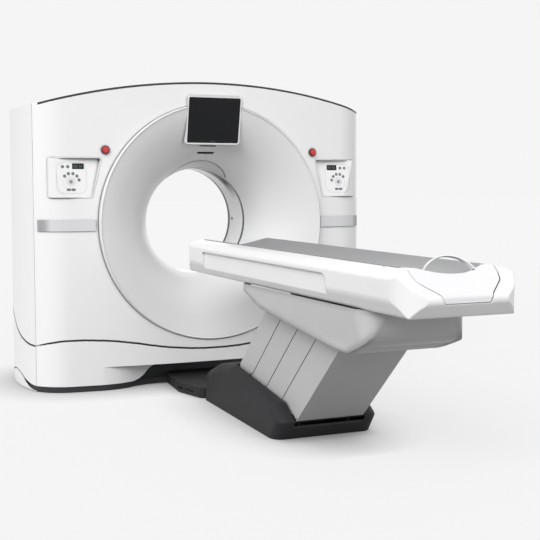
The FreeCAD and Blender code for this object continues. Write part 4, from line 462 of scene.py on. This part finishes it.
# %% [markdown]
# ## Small flat pieces
# Keys, films and glyphs are thin plates that lie on a face of the model. Each is an outline in that
# face's own two directions, raised by its thickness and drawn in a little at the top, so that its rim
# catches light as a pressed edge does. A printed line or a seal is a ribbon: a low ridge of one width
# along a path. A placing function says where the face is, so the same two builders serve the leaning
# control panels, the tilted monitor and the round bore.

# %% Outlines on a face
def round_outline(radius, u=0.0, v=0.0, steps=28):
    """A circle's corners about (u, v)."""
    turns = [2 * math.pi * index / steps for index in range(steps)]
    return [(u + radius * math.cos(turn), v + radius * math.sin(turn)) for turn in turns]


def soft_rectangle(u0, u1, v0, v1, radius, steps=6):
    """A rectangle with rounded corners, each in so many steps."""
    outline = []
    for u, v, first in ((u1, v1, 0), (u0, v1, 90), (u0, v0, 180), (u1, v0, 270)):
        centre = (u - math.copysign(radius, u - (u0 + u1) / 2), v - math.copysign(radius, v - (v0 + v1) / 2))
        for index in range(steps + 1):
            turn = math.radians(first + 90 * index / steps)
            outline.append((centre[0] + radius * math.cos(turn), centre[1] + radius * math.sin(turn)))
    return outline


print("a round outline has", len(round_outline(1.0)), "corners")

# %% From faces to a piece on its body
def finish_piece(name, mesh_data, finish, body):
    """Turns the faces into a named piece with its finish, which rides on its body."""
    mesh = bpy.data.meshes.new(name)
    bmesh.ops.recalc_face_normals(mesh_data, faces=mesh_data.faces)
    mesh_data.to_mesh(mesh)
    mesh_data.free()
    piece = bpy.data.objects.new(name, mesh)
    bpy.context.scene.collection.objects.link(piece)
    piece.data.materials.append(finishes[finish])
    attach(piece, body)
    return piece


def ladder(mesh_data, here, there):
    """Faces between two rings of as many corners."""
    for corner in range(len(here)):
        after = (corner + 1) % len(here)
        mesh_data.faces.new((here[corner], there[corner], there[after], here[after]))


def raised(place, by):
    """The same face, moved out by a distance."""
    return lambda u, v, height: place(u, v, height + by)


print("pieces can be finished")

# %% Plates
RIM_LIMIT = 0.6              # a rim takes at most this share of a plate's thickness


def plates(name, outlines, place, thickness, finish, body, rim=0.0004):
    """Thin plates with a drawn-in rim; an outline is a list of (u, v), in metres on its face."""
    mesh_data = bmesh.new()
    for outline in outlines:
        middle_u = sum(point[0] for point in outline) / len(outline)
        middle_v = sum(point[1] for point in outline) / len(outline)
        rings = []
        shoulder = thickness - min(rim, thickness * RIM_LIMIT)
        for height, inset in ((0.0, 0.0), (shoulder, 0.0), (thickness, rim)):
            ring = []
            for u, v in outline:
                reach = math.hypot(u - middle_u, v - middle_v)
                share = 1 - inset / max(reach, inset * 2)
                spot = (middle_u + (u - middle_u) * share, middle_v + (v - middle_v) * share)
                ring.append(mesh_data.verts.new(place(*spot, height)))
            rings.append(ring)
        for low, high in zip(rings, rings[1:]):
            ladder(mesh_data, low, high)
        mesh_data.faces.new(rings[-1])
        mesh_data.faces.new(rings[0][::-1])
    return finish_piece(name, mesh_data, finish, body)


print("plates ready, with rims of up to", RIM_LIMIT, "of their thickness")

# %% Ribbons
TOP_SHARE = 0.8              # how wide a ribbon's top is against its foot


def ribbons(name, paths, width, place, thickness, finish, body, closed=True):
    """Raised lines of one width along paths of (u, v)."""
    mesh_data = bmesh.new()
    for path in paths:
        count = len(path)
        rows = []
        for index, (u, v) in enumerate(path):
            before = path[index - 1] if closed or index else path[0]
            after = path[(index + 1) % count] if closed or index < count - 1 else path[-1]
            ahead = Vector((after[0] - before[0], after[1] - before[1])).normalized()
            side = Vector((-ahead.y, ahead.x)) * width / 2
            rows.append([mesh_data.verts.new(place(u + side.x * s, v + side.y * s, h))
                         for s, h in ((1, 0.0), (TOP_SHARE, thickness), (-TOP_SHARE, thickness), (-1, 0.0))])
        for index in range(count if closed else count - 1):
            ladder(mesh_data, rows[index], rows[(index + 1) % count])
        if not closed:
            mesh_data.faces.new(rows[0])
            mesh_data.faces.new(rows[-1][::-1])
    return finish_piece(name, mesh_data, finish, body)


print("ribbons ready, with tops", TOP_SHARE, "as wide as their feet")

# %% [markdown]
# ## The control panels
# Each panel is one moulded tray under a printed membrane: two small keys beside the display, five keys on
# an arc over the start key, and a double key under it. Membrane keys have no travel, so they are low
# domes of film. The faint ring of ticks and the hairline round the key field are printed; a real print
# has some thickness, and here it is a fifth of a millimetre high. The right panel is the left one's mirror.

# %% Where a panel's face is
PANEL_FOOT_Y, PANEL_FOOT_Z, PANEL_LEAN = -0.46346, 1.197, 28 / 253
DIAL_X, DIAL_Z = 0.9146, 1.300


def on_panel(side):
    """u runs towards the bore and v up, both from the start key; side is -1 for the left panel."""
    def place(u, v, height):
        z = DIAL_Z + v
        return (side * (DIAL_X - u), PANEL_FOOT_Y + (z - PANEL_FOOT_Z) * PANEL_LEAN - height, z)
    return place


KEY_ARC = 0.051
KEY_ANGLES = (138, 106, 74, 43, 12)
SMALL_KEYS = [(-0.049, 0.091), (-0.0165, 0.091)]     # beside the display
arc_keys = [(KEY_ARC * math.cos(math.radians(angle)), KEY_ARC * math.sin(math.radians(angle)))
            for angle in KEY_ANGLES]
round_keys = arc_keys + SMALL_KEYS
print("a panel has", len(round_keys), "round membrane keys")

# %% Finishes of the membrane
coated("key_film", (0.10, 0.105, 0.115), 0.38, drift=0.1, peel_scale=1500, peel=0.05,
       edge_colour=(0.26, 0.27, 0.28))
coated("print_grey", (0.42, 0.43, 0.45), 0.5, drift=0.1)
coated("print_white", (0.62, 0.63, 0.64), 0.45, drift=0.08)
coated("digit_grey", (0.26, 0.30, 0.31), 0.3, drift=0.1)
print("membrane finishes ready")

# %% Sizes of what the membrane carries
KEY_RADIUS, KEY_DOME, DOME_RIM = 0.0095, 0.0012, 0.0008
DOUBLE_KEY_U, DOUBLE_KEY_V = 0.0145, -0.0485         # middles of the double key's halves
DOUBLE_KEY_HALF_U, DOUBLE_KEY_HALF_V, DOUBLE_KEY_CORNER = 0.013, 0.0075, 0.0065
PRINT, KEY_PRINT, HAIRLINE = 0.0002, 0.00015, 0.0011
GLYPH_RADIUS, GLYPH_LINE = 0.0034, 0.0013
MARK_HALF, MARK_LINE = 0.005, 0.002
START_KEY_RINGS, START_KEY_LINE = ((0.0265, 48), (0.0175, 40)), 0.0016       # radius and corners of each
START_KEY_TOP, START_GLYPH_RADIUS, START_GLYPH_LINE = 0.00252, 0.0048, 0.0022
TICKS_FROM, TICKS_TO, TICK_ANGLES = 0.046, 0.052, range(168, 262, 8)
FIELD_EDGES, FIELD_CORNER = (-0.087, 0.098, -0.071, 0.117), 0.045
DIGIT_PLACES, DIGIT_V = (0.0245, 0.0375, 0.0565, 0.0695), 0.094
DIGIT_HIGH, DIGIT_WIDE, DIGIT_BAR, DIGIT_RIM = 0.016, 0.008, 0.0016, 0.00005
DISPLAY_TOP = 0.0001
print("print is", PRINT * 1000, "mm thick and a key's dome", KEY_DOME * 1000, "mm high")

# %% Keys, glyphs and print on both panels
def digit_bars(u, v):
    """The seven bars of one digit, as small rectangles."""
    half_w, half_h, half_bar = DIGIT_WIDE / 2, DIGIT_HIGH / 2, DIGIT_BAR / 2
    bars = [(u, v + y, half_w - DIGIT_BAR, half_bar) for y in (-half_h, 0.0, half_h)]
    bars += [(u + x, v + y, half_bar, half_h / 2 - DIGIT_BAR)
             for x in (-half_w, half_w) for y in (-half_h / 2, half_h / 2)]
    return [[(a - w, b - h), (a + w, b - h), (a + w, b + h), (a - w, b + h)] for a, b, w, h in bars]


def membrane_keys(word, face, body):
    halves = (-DOUBLE_KEY_U, DOUBLE_KEY_U)
    on_key = raised(face, KEY_DOME)
    domes = [round_outline(KEY_RADIUS, u, v) for u, v in round_keys]
    domes += [soft_rectangle(u - DOUBLE_KEY_HALF_U, u + DOUBLE_KEY_HALF_U, DOUBLE_KEY_V - DOUBLE_KEY_HALF_V,
                             DOUBLE_KEY_V + DOUBLE_KEY_HALF_V, DOUBLE_KEY_CORNER) for u in halves]
    plates(word + "_membrane_keys", domes, face, KEY_DOME, "key_film", body, rim=DOME_RIM)
    glyphs = [round_outline(GLYPH_RADIUS, u, v, steps=16) for u, v in round_keys]
    ribbons(word + "_key_glyphs", glyphs, GLYPH_LINE, on_key, KEY_PRINT, "print_white", body)
    marks = [[(u - MARK_HALF, DOUBLE_KEY_V), (u + MARK_HALF, DOUBLE_KEY_V)] for u in halves]
    ribbons(word + "_double_key_marks", marks, MARK_LINE, on_key, KEY_PRINT, "print_white", body,
            closed=False)


def panel_print(word, face, body):
    rings = [round_outline(radius, steps=steps) for radius, steps in START_KEY_RINGS]
    ribbons(word + "_start_key_rings", rings, START_KEY_LINE, face, PRINT, "print_grey", body)
    ticks = [[(reach * math.cos(math.radians(angle)), reach * math.sin(math.radians(angle)))
              for reach in (TICKS_FROM, TICKS_TO)] for angle in TICK_ANGLES]
    ribbons(word + "_dial_ticks", ticks, HAIRLINE, face, PRINT, "print_grey", body, closed=False)
    field = soft_rectangle(*FIELD_EDGES, FIELD_CORNER, steps=10)
    ribbons(word + "_field_line", [field], HAIRLINE, face, PRINT, "print_grey", body)
    digits = [bar for u in DIGIT_PLACES for bar in digit_bars(u, DIGIT_V)]
    plates(word + "_display_digits", digits, raised(face, DISPLAY_TOP), PRINT, "digit_grey", body,
           rim=DIGIT_RIM)
    glyph = round_outline(START_GLYPH_RADIUS, steps=24)
    ribbons(word + "_start_key_glyph", [glyph], START_GLYPH_LINE, raised(face, START_KEY_TOP), PRINT,
            "key_film", word + "_start_key")


for side, word in SIDES:
    membrane_keys(word, on_panel(side), "gantry_and_base")
    panel_print(word, on_panel(side), "gantry_and_base")
print("both panels carry their keys")

# %% [markdown]
# ## The monitor's picture area
# Behind one sheet of glass a monitor has a black frame and, inside it, the slightly greyer picture area.
# Switched off, that difference is all that shows. It is a plate a third of a millimetre proud with a
# satin finish, so that the two areas differ in gloss as well as in colour.

# %% Picture area and the small lamps under it
SCREEN_FOOT_Y, SCREEN_FOOT_Z, SCREEN_LEAN = -0.468, 1.537, 0.055 / 0.301
PICTURE_HALF, PICTURE_FOOT, PICTURE_HEAD, PICTURE_CORNER = 0.156, 0.034, 0.272, 0.003
LAMP_RADIUS, LAMP_PITCH, LAMP_V = 0.0018, 0.012, 0.0195
PICTURE_PROUD, LAMP_PROUD, SCREEN_RIM = 0.0003, 0.0004, 0.0002


def on_screen(u, v, height):
    return (u, SCREEN_FOOT_Y - v * SCREEN_LEAN - height, SCREEN_FOOT_Z + v)


coated("picture_grey", (0.013, 0.0135, 0.015), 0.4, drift=0.1, peel_scale=1600, peel=0.02, specular=0.12)
picture = soft_rectangle(-PICTURE_HALF, PICTURE_HALF, PICTURE_FOOT, PICTURE_HEAD, PICTURE_CORNER)
plates("monitor_picture_area", [picture], on_screen, PICTURE_PROUD, "picture_grey", "gantry_and_base",
       rim=SCREEN_RIM)
lamps = [round_outline(LAMP_RADIUS, LAMP_PITCH * index, LAMP_V, steps=12) for index in (-1, 0, 1)]
plates("monitor_lamps", lamps, on_screen, LAMP_PROUD, "print_grey", "gantry_and_base", rim=SCREEN_RIM)
print("the picture area is", PICTURE_HALF * 2, "m wide, with", len(lamps), "lamps under it")

# %% [markdown]
# ## The lens in the bore
# Inside the bore sits one dark lens of the breathing camera, at the height of the lying patient. The bore
# is round, so the lens follows the circle as it goes up and down from its middle.

# %% The lens in the bore
BORE_RADIUS, BORE_AXIS_Z = 0.350, 1.040
LENS_Y, LENS_Z, LENS_RADIUS = 0.075, 1.042, 0.011
LENS_PROUD, LENS_RIM = 0.0012, 0.0006


def on_bore_right(u, v, height):
    z = LENS_Z + v
    return (math.sqrt((BORE_RADIUS - height) ** 2 - (z - BORE_AXIS_Z) ** 2), LENS_Y + u, z)


plates("bore_lens", [round_outline(LENS_RADIUS)], on_bore_right, LENS_PROUD, "screen_black",
       "gantry_and_base", rim=LENS_RIM)
print("lens in place,", LENS_Z, "m over the floor")

# %% [markdown]
# ## Painted shade in the joints
# A black strip lies in the groove over the lower covers and stands for the groove's shadow: painted shade.
# The groove's course is found by looking straight at a lower cover, from above its backing lip downwards:
# where the view jumps forward, the cover's own edge begins.

# %% Look for the groove
LOOK_FROM_Z, LOOK_STEP, LOOKS = 0.55, 0.002, 180
EDGE_JUMP = 0.0035                   # how far forward the cover's edge stands from the lip
OUTSIDE = 2.0                        # a distance from the middle that is clear of every cover
bpy.context.view_layer.update()


def look(cover, start, way):
    """Where a straight look from start meets the cover, or None."""
    into = cover.matrix_world.inverted()
    hit, spot, *_ = cover.ray_cast(into @ start, into.to_3x3() @ way)
    return cover.matrix_world @ spot if hit else None


def groove_course(cover, spots, start, way):
    """The groove's lower edge as (spot, depth along the view, height), one for each spot."""
    course = []
    for spot in spots:
        before = None
        for drop in range(LOOKS):
            z = LOOK_FROM_Z - drop * LOOK_STEP
            met = look(cover, start(spot, z), way)
            if met and before is not None and met.dot(way) < before - EDGE_JUMP:
                course.append((spot, met.dot(way), z))
                break
            before = met.dot(way) if met else before
    return course


print("a look goes down by", LOOK_STEP * 1000, "mm at a time, from", LOOK_FROM_Z, "m over the floor")

# %% The dark strip over the lower covers
SEAM_SHADE_WIDTH, SEAM_SHADE_RISE, SEAM_SHADE_PROUD = 0.0125, 0.004, 0.0006
SPOT_PITCH = 0.02                    # from one look to the next, along the cover
FRONT_SPOTS, SIDE_SPOTS = range(-55, 56), range(-17, 18)
# a black for strips that stand for shade: in the grooves, down the slats, under the toe recess and behind
# slots
coated("shade_black", (0.03, 0.03, 0.032), 0.6, drift=0.2, peel_scale=900, peel=0.2, specular=0.3)


def shade_strip(name, cover, spots, start, way, to_world):
    """Lays a dark strip in a cover's groove as painted shade; returns how many points of the groove were
    found.
    """
    course = groove_course(frame["nodes"][cover], spots, start, way)

    def place(u, v, height):
        after = next((index for index in range(1, len(course)) if course[index][0] >= u), len(course) - 1)
        low, high = course[after - 1], course[after]
        share = (u - low[0]) / (high[0] - low[0])
        return to_world(u, low[1] + share * (high[1] - low[1]) - height, v)

    path = [(spot, z + SEAM_SHADE_RISE) for spot, _, z in course]
    ribbons(name, [path], SEAM_SHADE_WIDTH, place, SEAM_SHADE_PROUD, "shade_black", "gantry_and_base", closed=False)
    return len(course)


found = shade_strip("front_groove_shade", "lower_front_cover", [step * SPOT_PITCH for step in FRONT_SPOTS],
             lambda x, z: Vector((x, -OUTSIDE, z)), Vector((0, 1, 0)), lambda u, depth, v: (u, depth, v))
for side, word in SIDES:
    found += shade_strip(word + "_groove_shade", "lower_side_covers", [step * SPOT_PITCH for step in SIDE_SPOTS],
                  lambda y, z, s=side: Vector((s * OUTSIDE, y, z)), Vector((-side, 0, 0)),
                  lambda u, depth, v, s=side: (-s * depth, u, v))
print("groove seals follow", found, "points")

# %% [markdown]
# ## Dark strips under the toe recess
# Where the lower front cover opens for the floor link, the plinth stops. A black strip takes up its line
# there and hides the floor under the gantry, which would be in shade: painted shade. It hangs a little behind
# the recess's back wall, whose course a row of looks finds.

# %% A dark strip each side of the floor link
TOE_SHADE_START, TOE_SHADE_PITCH, TOE_SHADE_POINTS = 0.27, 0.0185, 16
TOE_SHADE_FOOT, TOE_SHADE_HEAD, TOE_SHADE_THICK, TOE_SHADE_BEHIND = 0.002, 0.036, 0.003, 0.010
RECESS_WALL_Z = 0.143                # a height at which the recess's back wall has no opening


# painted shade: a black strip where the floor under the gantry would be in shade
def toe_shade_strip(name, side):
    cover, rows = frame["nodes"]["lower_front_cover"], []
    mesh_data = bmesh.new()
    for step in range(TOE_SHADE_POINTS):
        x = side * (TOE_SHADE_START + TOE_SHADE_PITCH * step)
        met = look(cover, Vector((x, -OUTSIDE, RECESS_WALL_Z)), Vector((0, 1, 0)))
        if met:
            near, far = met.y + TOE_SHADE_BEHIND, met.y + TOE_SHADE_BEHIND + TOE_SHADE_THICK
            corners = ((near, TOE_SHADE_FOOT), (near, TOE_SHADE_HEAD), (far, TOE_SHADE_HEAD), (far, TOE_SHADE_FOOT))
            rows.append([mesh_data.verts.new((x, y, z)) for y, z in corners])
    for here, there in zip(rows, rows[1:]):
        ladder(mesh_data, here, there)
    mesh_data.faces.new(rows[0])
    mesh_data.faces.new(rows[-1][::-1])
    finish_piece(name, mesh_data, "shade_black", "gantry_and_base")
    return len(rows)


print("sweeps follow", sum(toe_shade_strip(word + "_toe_shade", side) for side, word in SIDES), "points")

# %% [markdown]
# ## Painted shade down the slats' back edges
# Each slat slides in behind the one in front of it, and a black line down that one's back edge stands for the
# shadow at the step: painted shade. The line's place is worked out as the slat itself is: from its pivots,
# which lie on a line that climbs a little from the front to the rear, and from the lean that all slats share.

# %% Slat shade lines and pivot caps
ARM_LEAN, PIVOT_SLOPE = math.radians(47), math.radians(8.4)
FRONT_PIVOT, PIVOT_PITCH = Vector((0, -2.123, 0.136)), 0.212
SLAT_FACE, SLAT_STEP_IN = 0.190, 0.007       # half width over the front pair; what each next one loses
SLAT_BACK, SLAT_CORNER, SHADE_LINE_IN = 0.152, 0.024, 0.003
SLAT_FOOT, SLAT_HEAD = -0.012, 0.5222        # how far its ends are from the line of the lower pivots
SHADE_LINE_FOOT_IN, SHADE_LINE_HEAD_IN = 0.032, 0.020
SHADE_LINE_WIDTH, SHADE_LINE_PROUD, SHADE_LINE_TURNS = 0.005, 0.0008, (20, 45, 70)       # the turns are round the upper corner
CAP_RADIUS, CAP_PROUD, CAP_RIM = 0.0165, 0.0012, 0.0006


def on_slat(index, side):
    """u runs up the slat and v back from its pivots; index counts from the front slat."""
    step = PIVOT_PITCH * index
    foot = FRONT_PIVOT + Vector((0, step * math.cos(PIVOT_SLOPE), step * math.sin(PIVOT_SLOPE)))
    up = Vector((0, -math.sin(ARM_LEAN), math.cos(ARM_LEAN)))
    back = Vector((0, math.cos(ARM_LEAN), math.sin(ARM_LEAN)))

    def place(u, v, height):
        spot = foot + up * u + back * v
        return (side * (SLAT_FACE - SLAT_STEP_IN * index + height), spot.y, spot.z)
    return place


edge, slant = SLAT_BACK - SHADE_LINE_IN, ARM_LEAN - PIVOT_SLOPE
foot = SLAT_FOOT / math.cos(slant) - edge * math.tan(slant) + SHADE_LINE_FOOT_IN
head = SLAT_HEAD / math.cos(slant) - edge * math.tan(slant) - SHADE_LINE_HEAD_IN
shade_line = [(foot, edge), (head, edge)]
for turn in [math.radians(degrees) for degrees in SHADE_LINE_TURNS]:
    shade_line.append((head + SLAT_CORNER * math.sin(turn), edge - SLAT_CORNER * (1 - math.cos(turn))))
# painted shade: a black line down each slat's back edge
for index, body in enumerate(("front_arms", "front_middle_slats", "rear_middle_slats")):
    for side, word in SIDES:
        ribbons(f"{word}_slat_shade_line_{index + 1}", [shade_line], SHADE_LINE_WIDTH, on_slat(index, side), SHADE_LINE_PROUD,
                "shade_black", body, closed=False)
for side, word in SIDES:
    plates(word + "_pivot_cap", [round_outline(CAP_RADIUS, steps=32)], on_slat(0, side), CAP_PROUD,
           "slat_paint", "front_arms", rim=CAP_RIM)
print("a slat's seal is", round(head - foot, 3), "m long up to its corner")

# %% [markdown]
# ## Plugs and dark plates
# The table body's top edge is held by two screws whose heads are covered by small plugs. The floor link's
# cover
# has slots for air in its flanks, and a dark plate stands behind them where the inside would be in shade:
# painted shade.

# %% Edge plugs on the table, dark plates behind the floor link's slots
TABLE_EDGE_Z, PLUG_X, PLUG_Y, PLUG_RADIUS, PLUG_PROUD = 0.952, 0.234, -3.06, 0.006, 0.0008
SLOT_SHADE_X, SLOT_SHADE_EDGES, SLOT_SHADE_CORNER, SLOT_SHADE_THICK = 0.24, (-0.86, -0.62, 0.014, 0.044), 0.004, 0.001

for side, word in SIDES:
    plates(word + "_edge_plug", [round_outline(PLUG_RADIUS, side * PLUG_X, PLUG_Y, steps=20)],
           lambda u, v, height: (u, v, TABLE_EDGE_Z + height), PLUG_PROUD, "key_film", "table_top")
    # painted shade: a dark plate behind each slot
    plates(word + "_slot_shade_plate", [soft_rectangle(*SLOT_SHADE_EDGES, SLOT_SHADE_CORNER)],
           lambda u, v, height, s=side: (s * (SLOT_SHADE_X + height), u, v), SLOT_SHADE_THICK, "shade_black",
           "gantry_and_base")
print("plugs", PLUG_RADIUS * 2000, "mm wide on the table's edge, liners", SLOT_SHADE_X, "m from the middle")

# %% [markdown]
# ## The stage
# A scanner brochure is shot on an endless pale floor. The floor and the air behind have one colour, so
# no horizon shows. Most of the floor's brightness is its own light, dimmed where something stands close
# over it, because the photograph's shadows are faint; lamplight adds the rest, with the cast shadows in
# it. For light that bounces the floor is dark grey: a white one would fill the undersides of the table,
# which the photograph shows dark.

# %% Floor
FLOOR_SIZE, FLOOR_DROP = 120.0, 0.0005       # a little under the scanner, so that no faces fight
BACKDROP = 0.913
FLOOR_BOUNCE = 0.24          # what the floor gives back to the scanner
FLOOR_OWN = 0.75             # share of its seen brightness that cast shadows don't reach
FLOOR_SEEN = 0.220           # its seen colour, which lamplight turns into the other share
FLOOR_GRAIN = 0.003
SHELTER_REACH = 0.35


def even(value):
    """A neutral grey."""
    return (value, value, value, 1)


def ray_is_seen(tree):
    """1 for rays that the camera sees, straight or in a reflection, and 0 for light that bounces."""
    path = add(tree, "ShaderNodeLightPath").outputs
    seen = maths(tree, "MAXIMUM", path["Is Camera Ray"], path["Is Glossy Ray"])
    return maths(tree, "MAXIMUM", seen, path["Is Transmission Ray"])


bpy.ops.mesh.primitive_plane_add(size=FLOOR_SIZE, location=(0, 0, -FLOOR_DROP))
floor = bpy.context.object
floor.name = "floor"
tree, shader = start_material("floor_pale")
grain = noise(tree, {"Vector": object_spot(tree), "Scale": 3.0, "Detail": 6.0})
pale = spread(tree, grain, FLOOR_SEEN - FLOOR_GRAIN, FLOOR_SEEN + FLOOR_GRAIN)
pale = add(tree, "ShaderNodeCombineColor", {0: pale, 1: pale, 2: pale}).outputs[0]
tone = blend_colours(tree, ray_is_seen(tree), even(FLOOR_BOUNCE), pale)
# painted contact shadow: ambient occlusion dims the floor's own light close under the scanner
open_air = add(tree, "ShaderNodeAmbientOcclusion", {"Distance": SHELTER_REACH}, samples=8).outputs["AO"]
own_light = maths(tree, "MULTIPLY", open_air, BACKDROP * FLOOR_OWN)
own_light = maths(tree, "MULTIPLY", ray_is_seen(tree), own_light)
set_inputs(shader, {"Base Color": tone, "Roughness": 0.9, "Specular IOR Level": 0.0,
                    "Emission Color": (1, 1, 1, 1), "Emission Strength": own_light})
floor.data.materials.append(finishes["floor_pale"])
print("floor is", round(floor.dimensions.x), "m wide")

# %% [markdown]
# ## The room's light
# Four lamps as wide as softboxes stand round the scanner: the main one high on the photographer's left, a
# fainter one in front, low ones from the left side and from behind. The room itself is a mid grey for
# every ray but those that see it, which find the backdrop's tone.

# %% Lamps and world
ROOM_GREY = (0.52, 0.52, 0.525, 1)
world = bpy.data.worlds.new("soft_room")
bpy.context.scene.world = world
world.use_nodes = True
tree = world.node_tree
sky = tree.nodes["Background"]
set_inputs(sky, {"Color": blend_colours(tree, ray_is_seen(tree), ROOM_GREY, even(BACKDROP)), "Strength": 1.0})


def soft_sun(name, strength, azimuth, elevation, angle):
    """A lamp as wide as a softbox; azimuth 0 shines along +Y, 90 along +X."""
    lamp_data = bpy.data.lights.new(name, "SUN")
    lamp_data.energy = strength
    lamp_data.angle = math.radians(angle)
    lamp = bpy.data.objects.new(name, lamp_data)
    lamp.rotation_euler = (math.radians(90 - elevation), 0, -math.radians(azimuth))
    bpy.context.scene.collection.objects.link(lamp)


soft_sun("key_softbox", 1.98, 45, 37, 40)
soft_sun("front_softbox", 0.55, -20, 22, 60)
soft_sun("side_softbox", 0.68, 95, 12, 60)
soft_sun("back_softbox", 0.6, -140, 12, 60)
print("four soft lamps and a grey room")
